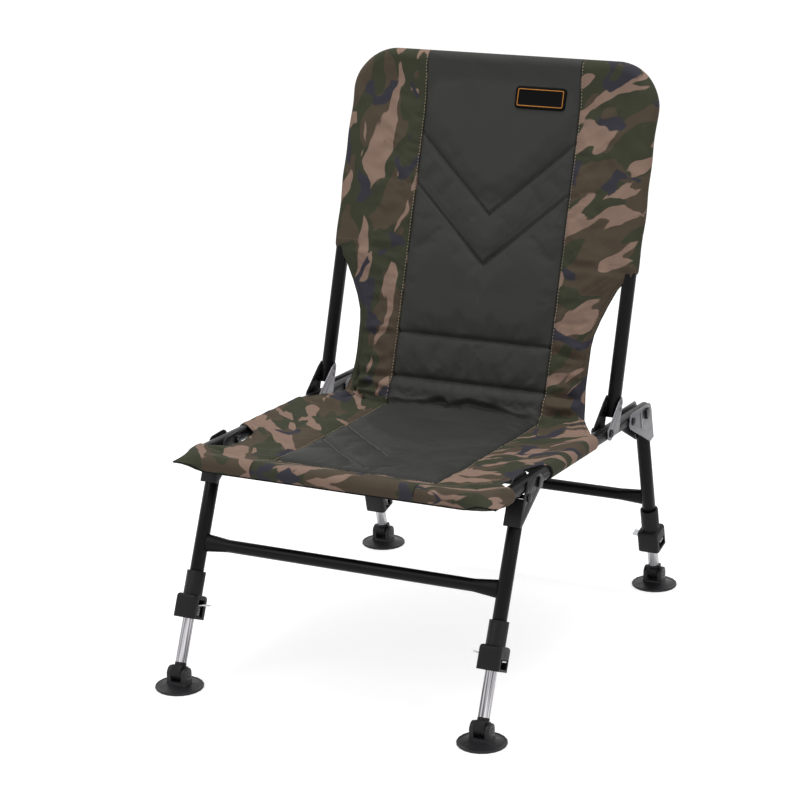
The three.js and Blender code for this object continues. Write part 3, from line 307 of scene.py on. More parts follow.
# Frame, legs and fittings
def dress(starts, material, bevel_mm):
    """Gives the solids of the frame their finish, with smooth curves and softly rounded edges."""
    for name in nodes:
        if not name.startswith(starts):
            continue
        piece = nodes[name]
        piece.data.materials.clear()
        piece.data.materials.append(material)
        piece.data.shade_smooth()
        weld = piece.modifiers.new("joined_corners", "WELD")
        weld.merge_threshold = 0.02 * MM
        edge = piece.modifiers.new("rounded_edges", "BEVEL")
        edge.width = bevel_mm * MM
        edge.segments = 2
        edge.limit_method = "ANGLE"
        edge.angle_limit = math.radians(32)
        edge.harden_normals = True


tubes = ("seat_frame", "backrest_frame", "leg_tube", "front_crossbar", "rear_crossbar")
# the plates are sorted by how light falls on them: the lit ones get the painted reflection, the
# others the painted shade
lit_plates = ("leg_bracket_rear", "backrest_cheek_left_inner", "backrest_cheek_right_outer")
shaded_plates = ("leg_bracket_front", "backrest_cheek_left_outer", "backrest_cheek_right_inner")
dress(tubes, coated_tube, 0.4)
dress(lit_plates, lit_plate_copy, 0.5)
dress(shaded_plates, shaded_plate_copy, 0.5)
dress(("leg_pivot_bolt", "leg_stop_bolt", "backrest_pivot_bolt", "foot_pin"), black_zinc, 0.5)
dress(("lock_plate", "lock_spring"), bright_zinc, 0.25)
dress(("inner_leg_front",), front_aluminium, 0.3)
dress(("inner_leg_rear",), rear_aluminium, 0.3)
dress(("lock_collar", "foot_knuckle", "rail_end_cap"), nylon, 0.8)
dress(("foot_disc",), polypropylene, 0.8)

# The sling, in mm. A place on it is x across from the middle, and t along: the seat from the front
# tube back, then the turn, then the back up to its top tube.
RAIL_X = 232.0
SLEEVE = 12.4
SEAM_X = 123.0
ROW = 3.0
PANEL_COLUMNS = 38
FLAT_COLUMNS = 30
RIM_COLUMNS = 9
VEE_DEPTH = PANEL_COLUMNS * ROW
SEAT_FALL = math.radians(2.55)
RECLINE = math.radians(18.3)
SEAT_CORNER = 38.0
TOP_CORNER = 56.0
TURN_START = 397.0
TURN_LENGTH = 24.0
BACK_START = 5.0
BACK_SHIFT = TURN_START + TURN_LENGTH - BACK_START
TOP_T = 500.0 + BACK_SHIFT
FRONT_SEAM = 199 - 45 * ROW
SEAT_VEES = (199.0, 277.0)
BACK_VEES = (314.0 + BACK_SHIFT, 389.0 + BACK_SHIFT)
LUMBAR_SEAMS = (23.0 + BACK_SHIFT, 89.0 + BACK_SHIFT)
FREE_RIM = 2.4
FRONT_SLEEVE_END = 46
SIDE_SLEEVE_START = 172
SIDE_SLEEVE_END = 337
BACK_SLEEVE_START = 214 + BACK_SHIFT
# how far along the cloth a sleeve's cut end runs before its side is free
END_CUT = 2.9
END_SEAM = 6

seat_origin = np.array((-281.0, 322.0))
seat_along = np.array((math.cos(SEAT_FALL), -math.sin(SEAT_FALL)))
seat_normal = np.array((math.sin(SEAT_FALL), math.cos(SEAT_FALL)))
back_up = np.array((math.sin(RECLINE), math.cos(RECLINE)))
back_normal = np.array((-math.cos(RECLINE), math.sin(RECLINE)))
BACK_PIVOT = np.array((103.74, 307.87))
POST_OFFSET = 28.2
POST_START = 22.6
back_origin = BACK_PIVOT - POST_OFFSET * back_normal + POST_START * back_up


def smooth(low, high, value):
    """Rises from 0 at `low` to 1 at `high`, with soft ends."""
    share = np.clip((value - low) / (high - low), 0, 1)
    return share * share * (3 - 2 * share)


def softened_max(a, b, width):
    """The larger of two heights, with a fillet where they cross."""
    return (a + b + np.sqrt((a - b) ** 2 + width**2)) / 2


# Half width of the cloth at places along it: the sleeves, the front cut-outs at the leg brackets
# and the long cut-outs at the waist
HALF_WIDTHS = (
    (-12.4, 244.4), (46, 244.4), (49, 230), (70, 209), (147, 209), (169, 230), (172, 244.4),
    (337, 244.4), (340, 231), (358, 221.5), (376, 211.5), (396, 201), (408, 195), (420, 191.5),
    (432, 189.5), (452, 187.5), (470, 187), (490, 187), (513, 187.5), (531, 190),
    (553, 197), (574, 206), (598, 219), (607, 226), (613, 232), (619, 239), (626, 243.5),
    (634, 244.4), (930, 244.4),
)


def row_places():
    """The rows of the cloth's grid: places along it, and how far the cloth runs round the tubes."""
    turns = np.radians([90, 75, 60, 45, 30, 15])
    front = [(-SLEEVE * math.sin(a), -SLEEVE * a) for a in turns]
    flat = [199 + ROW * k for k in range(-66, 67)]
    flat += [TURN_START + TURN_LENGTH * k / 16 for k in range(1, 16)]
    flat += [LUMBAR_SEAMS[0] + ROW * k for k in range(-6, 160)]
    top = [(TOP_T + SLEEVE * math.sin(a), TOP_T + SLEEVE * a) for a in turns[::-1]]
    return np.array(front + [(t, t) for t in flat] + top).T


row_t, row_v = row_places()
rows = len(row_t)


def sleeve_share(t):
    """1 where the cloth's sides wrap a tube, 0 where they are cut free."""
    front = smooth(FRONT_SLEEVE_END + END_CUT, FRONT_SLEEVE_END + 0.1, t)
    seat_side = smooth(SIDE_SLEEVE_START - END_CUT, SIDE_SLEEVE_START - 0.1, t)
    seat_side = seat_side * smooth(SIDE_SLEEVE_END + END_CUT, SIDE_SLEEVE_END + 0.1, t)
    back_side = smooth(BACK_SLEEVE_START - 14, BACK_SLEEVE_START, t)
    return np.clip(front + seat_side + back_side, 0, 1)


def outline_half_width(t):
    """Half the cloth's width, round top corners included."""
    width = np.interp(t, *zip(*HALF_WIDTHS))
    above = np.clip(t - (TOP_T - TOP_CORNER), 0, TOP_CORNER + SLEEVE)
    corner = RAIL_X - TOP_CORNER + np.sqrt((TOP_CORNER + SLEEVE) ** 2 - above**2)
    return np.where(above > 0, corner, width)


def tube_x(t):
    """How far out the tube's middle line lies beside each row."""
    front = np.clip(SEAT_CORNER - t, 0, SEAT_CORNER)
    front_x = RAIL_X - SEAT_CORNER + np.sqrt(SEAT_CORNER**2 - front**2)
    above = np.clip(t - (TOP_T - TOP_CORNER), 0, TOP_CORNER)
    top_x = RAIL_X - TOP_CORNER + np.sqrt(TOP_CORNER**2 - above**2)
    return np.where(t < TURN_START, front_x, top_x)


def grid_columns():
    """Places across for each row: even up to the seam, then out to the tube, then round it."""
    half = outline_half_width(row_t)
    free_fold = half - FREE_RIM
    fold = free_fold + (np.minimum(tube_x(row_t), free_fold) - free_fold) * sleeve_share(row_t)
    inner = np.repeat([np.arange(PANEL_COLUMNS + 1) * SEAM_X / PANEL_COLUMNS], rows, 0)
    share = np.arange(1, FLAT_COLUMNS + 1) / FLAT_COLUMNS
    flat = SEAM_X + share * (fold - SEAM_X)[:, None]
    angle = np.arange(1, RIM_COLUMNS + 1) / RIM_COLUMNS * math.pi / 2
    outer = fold[:, None] + (half - fold)[:, None] * np.sin(angle)
    laid = fold[:, None] + (half - fold)[:, None] * angle
    sides = []
    for last in (outer, laid):
        right = np.concatenate([inner, flat, last], 1)
        sides.append(np.concatenate([-right[:, :0:-1], right], 1))
    return sides


grid_x, grid_u = grid_columns()
columns = grid_x.shape[1]
middle = columns // 2
from_middle = np.abs(np.arange(columns) - middle)
grid_t = np.repeat(row_t[:, None], columns, 1)
side_x = np.abs(grid_x)
in_panel = (from_middle <= PANEL_COLUMNS)[None, :] & (grid_t >= FRONT_SEAM - 0.1)


def middle_path(t):
    """The cloth's middle line seen from the side: (y, z) points and the way square to it."""
    p0 = seat_origin + TURN_START * seat_along
    p3 = back_origin + BACK_START * back_up
    reach = 0.42 * np.linalg.norm(p3 - p0)
    p1, p2 = p0 + reach * seat_along, p3 - reach * back_up
    u = np.clip((t - TURN_START) / TURN_LENGTH, 0, 1)[:, None]
    turn = (1 - u) ** 3 * p0 + 3 * u * (1 - u) ** 2 * p1 + 3 * u * u * (1 - u) * p2 + u**3 * p3
    way = (1 - u) ** 2 * (p1 - p0) + 2 * u * (1 - u) * (p2 - p1) + u * u * (p3 - p2)
    way /= np.linalg.norm(way, axis=1)[:, None]
    on_seat = (t <= TURN_START)[:, None]
    on_back = (t >= TURN_START + TURN_LENGTH)[:, None]
    seat_point = seat_origin + np.outer(t, seat_along)
    back_point = back_origin + np.outer(t - BACK_SHIFT, back_up)
    point = np.where(on_seat, seat_point, np.where(on_back, back_point, turn))
    square = np.stack([-way[:, 1], way[:, 0]], 1)
    square = np.where(on_seat, seat_normal, np.where(on_back, back_normal, square))
    return point, square


path_point, path_normal = middle_path(row_t)


def placed(x, height):
    """Grid points as positions in metres."""
    y = path_point[:, None, 0] + path_normal[:, None, 0] * height
    z = path_point[:, None, 1] + path_normal[:, None, 1] * height
    return np.stack([x, y, z], -1) * MM


def tube_gaps():
    """Distance out from the wrapped tube's middle line, and how far out the cut edge lies there."""
    gaps = []
    for radius, past in ((TOP_CORNER, grid_t - TOP_T), (SEAT_CORNER, -grid_t)):
        x, t = side_x - RAIL_X + radius, past + radius
        in_corner = (x > 0) & (t > 0)
        gaps.append(np.where(in_corner, np.hypot(x, t), np.maximum(x, t)) - radius)
    angle = np.arctan2(np.maximum(t, 1e-6), np.maximum(x, 1e-6))
    to_edge = (SEAT_CORNER + SLEEVE) / np.maximum(np.cos(angle), np.sin(angle)) - SEAT_CORNER
    on_seat = grid_t < TURN_START
    reach = np.where(on_seat & in_corner, np.maximum(to_edge, SLEEVE), SLEEVE)
    return np.where(on_seat, gaps[1], gaps[0]), reach


tube_gap, edge_reach = tube_gaps()
side_sleeves = np.repeat(sleeve_share(row_t)[:, None], columns, 1)
wrapped = np.maximum(side_sleeves, smooth(30, 14, grid_t))


def distance_to_outline():
    """How far each point lies inside the cloth's cut edge."""
    half = outline_half_width(row_t)
    right, left = np.stack([half, row_t], 1), np.stack([-half[::-1], row_t[::-1]], 1)
    edge = np.concatenate([right, left])
    points = np.stack([grid_x.ravel(), grid_t.ravel()], 1)
    least = np.full(len(points), 1e9)
    for start, end in zip(edge, np.roll(edge, -1, axis=0)):
        along = end - start
        share = np.clip(((points - start) @ along) / max(along @ along, 1e-9), 0, 1)
        off = points - start - share[:, None] * along
        least = np.minimum(least, np.hypot(off[:, 0], off[:, 1]))
    return least.reshape(grid_x.shape)


edge_gap = distance_to_outline()


def sewn_gaps():
    """Distances from the sewn lines: the vees, the tucks, the front seam and the long seams."""
    lean = math.hypot(1, VEE_DEPTH / SEAM_X)
    dip = VEE_DEPTH * np.clip(1 - side_x / SEAM_X, 0, 1)
    to_vees = [np.abs(grid_t - (place - dip)) / lean for place in (*SEAT_VEES, *BACK_VEES)]
    to_tucks = [np.abs(grid_t - place) for place in LUMBAR_SEAMS]
    vees = np.where(in_panel, np.minimum.reduce(to_vees), 1e3)
    tucks = np.where(in_panel, np.minimum.reduce(to_tucks), 1e3)
    front = np.where((from_middle <= PANEL_COLUMNS)[None, :], np.abs(grid_t - FRONT_SEAM), 1e3)
    return vees, tucks, front, np.abs(side_x - SEAM_X)


vee_gap, tuck_gap, front_gap, side_gap = sewn_gaps()
sewn_gap = np.minimum.reduce([vee_gap, tuck_gap, front_gap, side_gap])


# Where the lip at the turn runs across the panel: (x, t)
LIP = (
    (-125, 403), (-110, 403), (-88, 404), (-60, 408), (-42, 413), (-32, 413), (-24, 407),
    (-12, 410), (8, 415), (26, 413), (46, 412), (66, 409), (86, 403), (112, 399), (125, 397),
)


def crease(x0, t0, x1, t1, width, height, bend=0.0):
    """A soft fold from one place to another: a rise of that width that dies away at both ends."""
    along = np.array([x1 - x0, t1 - t0], float)
    length = np.hypot(*along)
    along /= length
    share = ((grid_x - x0) * along[0] + (grid_t - t0) * along[1]) / length
    off = (grid_t - t0) * along[0] - (grid_x - x0) * along[1] - bend * 4 * share * (1 - share)
    fade = smooth(-0.05, 0.3, share) * smooth(1.05, 0.6, share)
    return height * fade * np.exp(-((off / width) ** 2))


def folds():
    """The folds that use and packing leave in the sling."""
    turn = TURN_START + TURN_LENGTH / 2
    b = BACK_SHIFT
    height = np.zeros(grid_x.shape)
    # on both sides, from the long seam outwards: (t there, x and t at the end, width, rise, bend)
    outwards = (
        (b + 205, 190, b + 214, 5.0, -2.0, 2), (b + 160, 186, b + 166, 4.5, 1.6, 2),
        (b + 128, 180, b + 131, 4.0, -1.8, -2), (b + 94, 186, b + 90, 5.0, 2.2, 2),
        (b + 86, 185, b + 78, 3.6, -4.2, -3), (b + 54, 186, b + 50, 5.0, 2.0, 3),
        (b + 31, 184, b + 33, 4.5, 2.6, 2), (b + 20, 186, b + 19, 3.2, -5.0, 1),
        (turn + 12, 186, turn + 18, 4.4, 4.0, -3), (turn - 1, 186, turn + 5, 3.2, -4.6, 2),
        (turn - 13, 196, turn - 20, 5.0, 3.0, 3), (turn - 24, 212, turn - 52, 5.0, -2.4, 3),
        (turn - 40, 222, turn - 84, 7.0, 1.6, -4), (300, 226, 282, 5.0, -1.5, 4),
        (262, 228, 250, 5.0, 1.3, -3), (228, 226, 206, 4.5, -1.5, 3),
        (190, 214, 172, 4.0, 1.5, -2), (160, 208, 150, 4.0, -1.5, 2),
        (128, 208, 112, 4.5, 1.3, -3), (96, 212, 66, 5.0, -1.3, 3),
        (b + 268, 220, b + 262, 8.0, -1.0, 3), (b + 352, 216, b + 360, 9.0, -0.8, -4),
    )
    for side in (-1, 1):
        for t0, x1, t1, width, rise, bend in outwards:
            height += crease(side * 125, t0, side * x1, t1, width, rise, bend)
    # where the seat turns into the back: the back's cloth bulges and ends in a wandering lip
    lip, tuck = np.interp(grid_x, *zip(*LIP)), LUMBAR_SEAMS[0]
    bulge = smooth(lip - 1, lip + 5, grid_t) * smooth(tuck + 1, tuck - 17, grid_t)
    bulge = 6.5 * bulge - 3.0 * np.exp(-(((grid_t - lip + 1.5) / 2.2) ** 2))
    height += bulge * smooth(186, 126, side_x)
    # in the panel: soft folds on either side of it
    for entry in (
        (-30, turn + 2, -18, turn - 18, 2.8, -2.2, 0), (20, turn + 18, 60, turn + 4, 4.0, -1.4, 0),
        (-110, turn - 16, 30, turn - 18, 8.0, 1.4, -3), (100, turn + 8, 122, turn - 8, 3.6, 2.0, 0),
        (-70, 340, 112, 322, 12.0, -1.2, 8), (-112, 150, 90, 132, 10.0, -1.0, 4),
        (-60, b + 160, 88, b + 150, 12.0, -0.9, 6), (-20, b + 196, 20, b + 150, 7.0, 1.0, 0),
    ):
        height += crease(*entry)
    # beside the waist, on the left: gathers that spread from one pinched place
    x0, t0 = -180, turn + 5
    height -= 5.0 * np.exp(-((grid_x - x0) ** 2 + (grid_t - t0) ** 2) / 30)
    for x1, t1, rise in (
        (-150, turn - 14, -6.6), (-134, turn + 2, 6.6), (-140, turn + 20, -6.6),
        (-158, turn + 34, 6.0), (-182, turn + 42, -5.4), (-202, turn - 12, 5.6),
        (-186, turn - 36, -6.4), (-162, turn - 30, 6.0),
    ):
        start = x0 - 0.3 * (x1 - x0), t0 - 0.3 * (t1 - t0)
        height += crease(*start, x1, t1, 3.7 + 0.17 * rise, rise)
    # beside the long seams: short puckers that the thread draws in
    rng = np.random.default_rng(7)
    for _ in range(170):
        side = rng.choice((-1, 1))
        t0 = rng.uniform(FRONT_SEAM + 6, TOP_T - 20)
        length, slant = rng.uniform(8, 26), rng.uniform(-5, 5)
        width, rise = rng.uniform(2.6, 4.0), rng.uniform(-0.8, 0.5)
        x0 = side * (SEAM_X + 1.5)
        height += crease(x0, t0, x0 + side * length, t0 + slant, width, rise)
    return height * smooth(1.0, 10, edge_gap)


fold_height = folds()


def crown(gap, height, reach):
    """Foam beside a seam: it rises steeply from the thread and levels off at `reach`."""
    share = np.clip(gap / reach, 0, 1)
    return height * np.sqrt(1 - (1 - share) ** 2)


def held_up():
    """How far the cloth between two sleeves is held up by their ends: in the front cut-outs it
    sinks a little, and behind the seat's sleeves it stays up until it turns into the back."""
    ends = FRONT_SLEEVE_END, SIDE_SLEEVE_START
    from_ends = np.minimum(np.abs(grid_t - ends[0]), np.abs(grid_t - ends[1]))
    between = (grid_t > ends[0] - END_SEAM) & (grid_t < ends[1] + END_SEAM)
    front = 0.8 * smooth(60, 0, from_ends) * between
    rear = smooth(BACK_SHIFT + 19, BACK_SHIFT - 10, grid_t) * (grid_t > SIDE_SLEEVE_END - 7)
    below = np.abs(grid_t - BACK_SLEEVE_START + 2)
    back = 0.7 * smooth(50, 0, below) * (grid_t > TURN_START + TURN_LENGTH)
    share = (front + rear + back) * smooth(150, 204, side_x)
    inside = np.clip(RAIL_X - side_x, 0, None)
    return share * np.clip(SLEEVE - 0.07 * inside - sheet, 0, None)


def resting_height():
    """The sheet before it is padded: drawn flat between its tubes, a little hollow in the seat."""
    share = np.clip(side_x / 212, 0, 1)
    hollow = 2.5 * (1 - share**2) * smooth(60, 160, grid_t) * smooth(TURN_START, 320, grid_t)
    return -3.0 + 7.0 * share**3 - hollow


sheet = resting_height()


def puffed():
    """Simulates the top cloth, sewn down along its seams and pushed up by its foam. Gives how far
    each grid point has moved across and out of the cloth, in mm."""
    picked_rows, picked_columns = np.arange(0, rows, 2), np.arange(1, columns, 2)
    pick = np.ix_(picked_rows, picked_columns)
    start = placed(grid_x, sheet)[pick]
    index = np.arange(start.shape[0] * start.shape[1]).reshape(start.shape[:2])
    corners = [index[:-1, :-1], index[:-1, 1:], index[1:, 1:], index[1:, :-1]]
    mesh = bpy.data.meshes.new("trial_cloth")
    quads = np.stack(corners, -1).reshape(-1, 4)
    mesh.from_pydata(start.reshape(-1, 3).tolist(), [], quads.tolist())
    trial = add_object("trial_cloth", mesh)
    held = np.maximum(smooth(4.0, 1.2, sewn_gap), smooth(26, 8, edge_gap))
    held = np.maximum(held, np.where(in_panel, 0.0, 0.15))[pick].ravel()
    group = trial.vertex_groups.new(name="sewn_down")
    for i, weight in enumerate(held):
        group.add([i], float(weight), "REPLACE")
    modifier = trial.modifiers.new("foam_pressure", "CLOTH")
    cloth = modifier.settings
    cloth.quality = 6
    cloth.mass = 0.25
    cloth.tension_stiffness = cloth.compression_stiffness = 15
    cloth.shear_stiffness = 6
    cloth.bending_stiffness = 0.8
    cloth.vertex_group_mass = "sewn_down"
    cloth.use_pressure = True
    cloth.uniform_pressure_force = 4.0
    cloth.shrink_min = cloth.shrink_max = -0.02
    cloth.effector_weights.gravity = 0
    modifier.collision_settings.use_collision = False
    for step in range(1, 21):
        bpy.context.scene.frame_set(step)
    ready = trial.evaluated_get(bpy.context.evaluated_depsgraph_get())
    end = np.array([v.co for v in ready.data.vertices]).reshape(start.shape)
    bpy.data.objects.remove(trial)
    bpy.context.scene.frame_set(1)
    moved = (end - start) / MM
    normal = path_normal[picked_rows]
    out = moved[..., 1] * normal[:, None, 0] + moved[..., 2] * normal[:, None, 1]
    print("cloth rises by", round(out.min(), 2), "to", round(out.max(), 2), "mm")
    full = []
    for part in (moved[..., 0], np.clip(out, -5, 8)):
        wide = np.array([np.interp(np.arange(columns), picked_columns, line) for line in part])
        full.append(np.array([np.interp(np.arange(rows), picked_rows, line) for line in wide.T]).T)
    return full


puff_across, puff_out = puffed()
puff_fade = smooth(2, 18, edge_gap)


def body_heights():
    """Top of the padded cloth, away from the sleeves, and its thickness."""
    foam = crown(np.minimum(vee_gap, side_gap), 3.2, 13)
    foam = foam + crown(np.minimum(tuck_gap, front_gap), 2.6, 11)
    raised = np.where(in_panel, foam - 2.6, crown(side_gap, 2.2, 10) - 1.6)
    groove = 2.4 * np.exp(-((vee_gap / 1.9) ** 2)) + 4.2 * np.exp(-((tuck_gap / 2.4) ** 2))
    groove += 2.0 * np.exp(-((side_gap / 1.8) ** 2)) + 1.8 * np.exp(-((front_gap / 1.8) ** 2))
    top = sheet + raised * smooth(0, 14, edge_gap) - groove * smooth(2, 10, edge_gap)
    top = top + fold_height + 0.75 * puff_out * puff_fade
    thick = np.where(in_panel, 9.5, 3.0 + 3.5 * smooth(3, 30, edge_gap))
    return top, thick


def tangent(lean_degrees):
    """Height of cloth that leaves the top of its tube at that lean, away from the tube."""
    lean = math.radians(lean_degrees)
    inside = np.clip(-tube_gap, 0, None)
    line = SLEEVE / math.cos(lean) - inside * math.tan(lean)
    arc = np.sqrt(np.clip(SLEEVE**2 - inside**2, 0, None))
    return np.where(inside < SLEEVE * math.sin(lean), arc, line)


def sling_heights():
    """Top and underside of the sling, drawn round the tubes, and the height of its cut edge."""
    top, thick = body_heights()
    under = np.minimum(sheet - thick + 2.0, top - 2.0)
    # outside the tube's middle line: round the tube, then straight out to a pressed corner
    outside = np.clip(tube_gap, 0, None)
    leave = SLEEVE**2 / edge_reach
    leave_height = SLEEVE * np.sqrt(1 - (SLEEVE / edge_reach) ** 2 + 1e-9)
    share = np.clip((edge_reach - outside) / np.maximum(edge_reach - leave, 1e-6), 0, 1)
    round_height = np.sqrt(np.clip(SLEEVE**2 - outside**2, 0, None))
    outer = np.where(outside <= leave, round_height, leave_height * share)
    sleeve_top = np.where(tube_gap >= 0, outer, softened_max(tangent(13), top, 2.0))
    sleeve_under = np.where(tube_gap >= 0, -outer, -softened_max(tangent(21), -under, 2.0))
    lift = held_up() * (1 - wrapped)
    top, under = top + lift, under + lift
    edge = (sheet - 1.2) * (1 - wrapped) + lift
    turned = np.clip(from_middle - PANEL_COLUMNS - FLAT_COLUMNS, 0, None) / RIM_COLUMNS
    rounding = np.cos(turned * math.pi / 2)[None, :]
    free_top = edge + (top - edge) * rounding
    free_under = edge + (under - edge) * rounding
    top = free_top + (sleeve_top - free_top) * wrapped
    under = free_under + (sleeve_under - free_under) * wrapped
    top = top + sleeve_ripple() * wrapped * np.clip(sleeve_top / SLEEVE, 0, 1) ** 2
    pulled = ear_drop(grid_x) * smooth(24, -6, grid_t)
    return top - pulled, under - pulled, edge - pulled


def sleeve_ripple():
    """Slack in the sleeves: low waves that run round the tubes."""
    along = grid_t + 0.3 * grid_x
    waves = np.sin(along / 9.0 + 1.3) * np.sin(along / 23.0)
    waves = waves + 0.6 * np.sin(along / 5.1 + grid_x / 31.0)
    return 0.5 * waves * smooth(26, 6, np.abs(tube_gap))


def ear_drop(x):
    """How far the front right corner is pulled down."""
    return 3.0 * smooth(204, 244, x)


top_height, under_height, edge_height = sling_heights()
# both front cut-outs lie a little to the right, and the back's edges wander where they are slack
NOTCH_SHIFT = 3.5
EDGE_SLACK = 1.2
notch = smooth(48, 70, grid_t) * smooth(170, 147, grid_t)
grid_x = grid_x + NOTCH_SHIFT * notch * smooth(150, 205, side_x)
slack = EDGE_SLACK * np.sin(grid_t / 17.0 + 0.7 * np.sign(grid_x)) * np.sin(grid_t / 41.0)
slack = slack * smooth(150, 244, side_x)
grid_x = grid_x + np.sign(grid_x) * slack * (grid_t > TURN_START)
top_points = placed(grid_x + puff_across * 0.5 * puff_fade, top_height)
under_points = placed(grid_x, under_height)


def build_sling():
    """One closed skin: the top and the underside meet along the cloth's edge."""
    index_top = np.arange(rows * columns).reshape(rows, columns)
    border = np.ones((rows, columns), bool)
    border[1:-1, 1:-1] = False
    top_points[border] = placed(grid_x, edge_height)[border]
    index_under = index_top.copy()
    index_under[~border] = rows * columns + np.arange(int((~border).sum()))
    points = np.concatenate([top_points.reshape(-1, 3), under_points[~border]])
    # which cut piece each face belongs to: the front band, then left and right of seat and back
    face_t = grid_t[:-1, :-1]
    strip = np.abs(np.arange(columns - 1) + 0.5 - middle)[None, :] + np.zeros(face_t.shape)
    left = (np.arange(columns - 1) < middle)[None, :] & (face_t > -1e3)
    inner = strip < PANEL_COLUMNS
    band = inner & (face_t < FRONT_SEAM - 0.1)
    on_seat = face_t < TURN_START + TURN_LENGTH / 2
    piece = np.where(band, 0, np.where(on_seat, 1, 3) + np.where(left, 0, 1))
    is_wrapped = wrapped[:-1, :-1] > 0.5
    free_rim = (strip > PANEL_COLUMNS + FLAT_COLUMNS + 4) & ~is_wrapped
    near_tube = np.abs(tube_gap[:-1, :-1]) < 34
    top_slots = np.where(free_rim, 2, np.where(inner & ~band, 1, 0))
    under_slots = np.where(is_wrapped & near_tube, 0, 2)
    # faces split so that their diagonals run along the vees
    faces = []
    for index, order in ((index_top, 1), (index_under, -1)):
        a, b, c, d = index[:-1, :-1], index[:-1, 1:], index[1:, 1:], index[1:, :-1]
        first = np.where(left[..., None], np.stack([a, b, d], -1), np.stack([a, b, c], -1))
        second = np.where(left[..., None], np.stack([b, c, d], -1), np.stack([a, c, d], -1))
        faces.append(np.stack([first, second], 2).reshape(-1, 3)[:, ::order])
    mesh = bpy.data.meshes.new("sling")
    mesh.from_pydata(points.tolist(), [], np.concatenate(faces).tolist())
    for material in (camouflage, oxford, backing):
        mesh.materials.append(material)
    slots = np.repeat(np.concatenate([top_slots.ravel(), under_slots.ravel()]), 2)
    mesh.polygons.foreach_set("material_index", slots.astype(np.int32))
    mesh.shade_smooth()
    # where each point lies on the flat cloth, and where its cut piece lies on the printed roll
    flat = np.stack([grid_u, np.repeat(row_v[:, None], columns, 1)], -1)
    flat = np.concatenate([flat.reshape(-1, 2), flat[~border]]) * MM
    corner = np.zeros(len(mesh.loops), np.int32)
    mesh.loops.foreach_get("vertex_index", corner)
    laid = flat[corner]
    cut_from = np.array([(0.62, 0.35), (0, 0), (0.07, 0.33), (0.52, 0.11), (0.83, 0.61)])
    turned = np.radians([60, -28, 66, 5, 58])
    which = np.repeat(np.tile(piece.ravel(), 2), 6)
    c, s = np.cos(turned)[which], np.sin(turned)[which]
    printed = np.stack([laid[:, 0] * c - laid[:, 1] * s, laid[:, 0] * s + laid[:, 1] * c], 1)
    printed += cut_from[which]
    for name, place in (("cloth", laid), ("print", printed)):
        layer = mesh.uv_layers.new(name=name)
        layer.data.foreach_set("uv", place.astype(np.float32).ravel())
    # painted shade in the hollows of the folds, the lip's groove included, joins the seams' painted
    # shade in the sewn attribute
    painted_fold_shade = 0.75 * smooth(-1.2, -5.0, fold_height)
    sewn = np.maximum(np.exp(-((sewn_gap / 1.5) ** 2)), painted_fold_shade).ravel()
    sewn = np.concatenate([sewn, np.zeros(int((~border).sum()))])
    mesh.attributes.new("sewn", "FLOAT", "POINT").data.foreach_set("value", sewn.astype(np.float32))
    return mesh


sling = add_object("sling", build_sling())
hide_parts("seat_fabric", "back_fabric")
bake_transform(sling)


# Sewing
def cloth_point(x, t):
    """A point of the sewn cloth's top, by its place across and along, and the way out of it."""
    row = int(np.clip(np.searchsorted(row_t, t) - 1, 0, rows - 2))
    share = (t - row_t[row]) / (row_t[row + 1] - row_t[row])
    spots, steps = [], []
    for r in (row, row + 1):
        column = int(np.clip(np.searchsorted(grid_x[r], x) - 1, 0, columns - 2))
        part = (x - grid_x[r, column]) / (grid_x[r, column + 1] - grid_x[r, column])
        spots.append(top_points[r, column] * (1 - part) + top_points[r, column + 1] * part)
        steps.append(top_points[r, column + 1] - top_points[r, column])
    normal = np.cross(steps[0], spots[1] - spots[0])
    return spots[0] * (1 - share) + spots[1] * share, normal / np.linalg.norm(normal)


def new_piece(name, points, faces, materials, slots=None):
    """A smooth mesh object."""
    mesh = bpy.data.meshes.new(name)
    mesh.from_pydata([tuple(p) for p in points], [], faces)
    for material in materials:
        mesh.materials.append(material)
    mesh.shade_smooth()
    if slots is not None:
        mesh.polygons.foreach_set("material_index", np.array(slots, np.int32))
    return add_object(name, mesh)


def ring_faces(rings, sides):
    """Faces between rings of points, one ring after another, and a cap on each end."""
    faces = []
    for ring in range(rings - 1):
        for k in range(sides):
            n = (k + 1) % sides
            a, b = ring * sides, (ring + 1) * sides
            faces.append((a + k, a + n, b + n, b + k))
    last = (rings - 1) * sides
    return faces + [tuple(range(sides))[::-1], tuple(last + k for k in range(sides))]


def sew(name, thread, lines, pitch, length, width, proud):
    """Stitches along lines of (x, t) places: short tapered threads that stand on the cloth."""
    points, faces = [], []
    for line in lines:
        line = np.array(line, float)
        marks = np.concatenate([[0], np.cumsum(np.hypot(*np.diff(line, axis=0).T))])
        for k in range(int(marks[-1] / pitch)):
            at = (k + 0.5) * pitch + np.array([-length / 2, 0, length / 2])
            places = zip(np.interp(at, marks, line[:, 0]), np.interp(at, marks, line[:, 1]))
            (a, _), (mid, out), (b, _) = [cloth_point(x, t) for x, t in places]
            side = np.cross(out, (b - a) / max(np.linalg.norm(b - a), 1e-9))
            base = len(points)
            half, rise = width * MM / 2, proud * MM
            ring = [side * half, out * (rise + half), -side * half, -out * half]
            points.append(a)
            for share in (0.25, 0.75):
                spot = a + (b - a) * share + (mid - (a + b) / 2)
                points.extend([spot + step for step in ring])
            points.append(b)
            for j in range(4):
                n = (j + 1) % 4
                faces.append((base, base + 1 + n, base + 1 + j))
                faces.append((base + 1 + j, base + 1 + n, base + 5 + n, base + 5 + j))
                faces.append((base + 9, base + 5 + j, base + 5 + n))
    stitches = new_piece(name, points, faces, [thread])
    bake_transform(stitches)


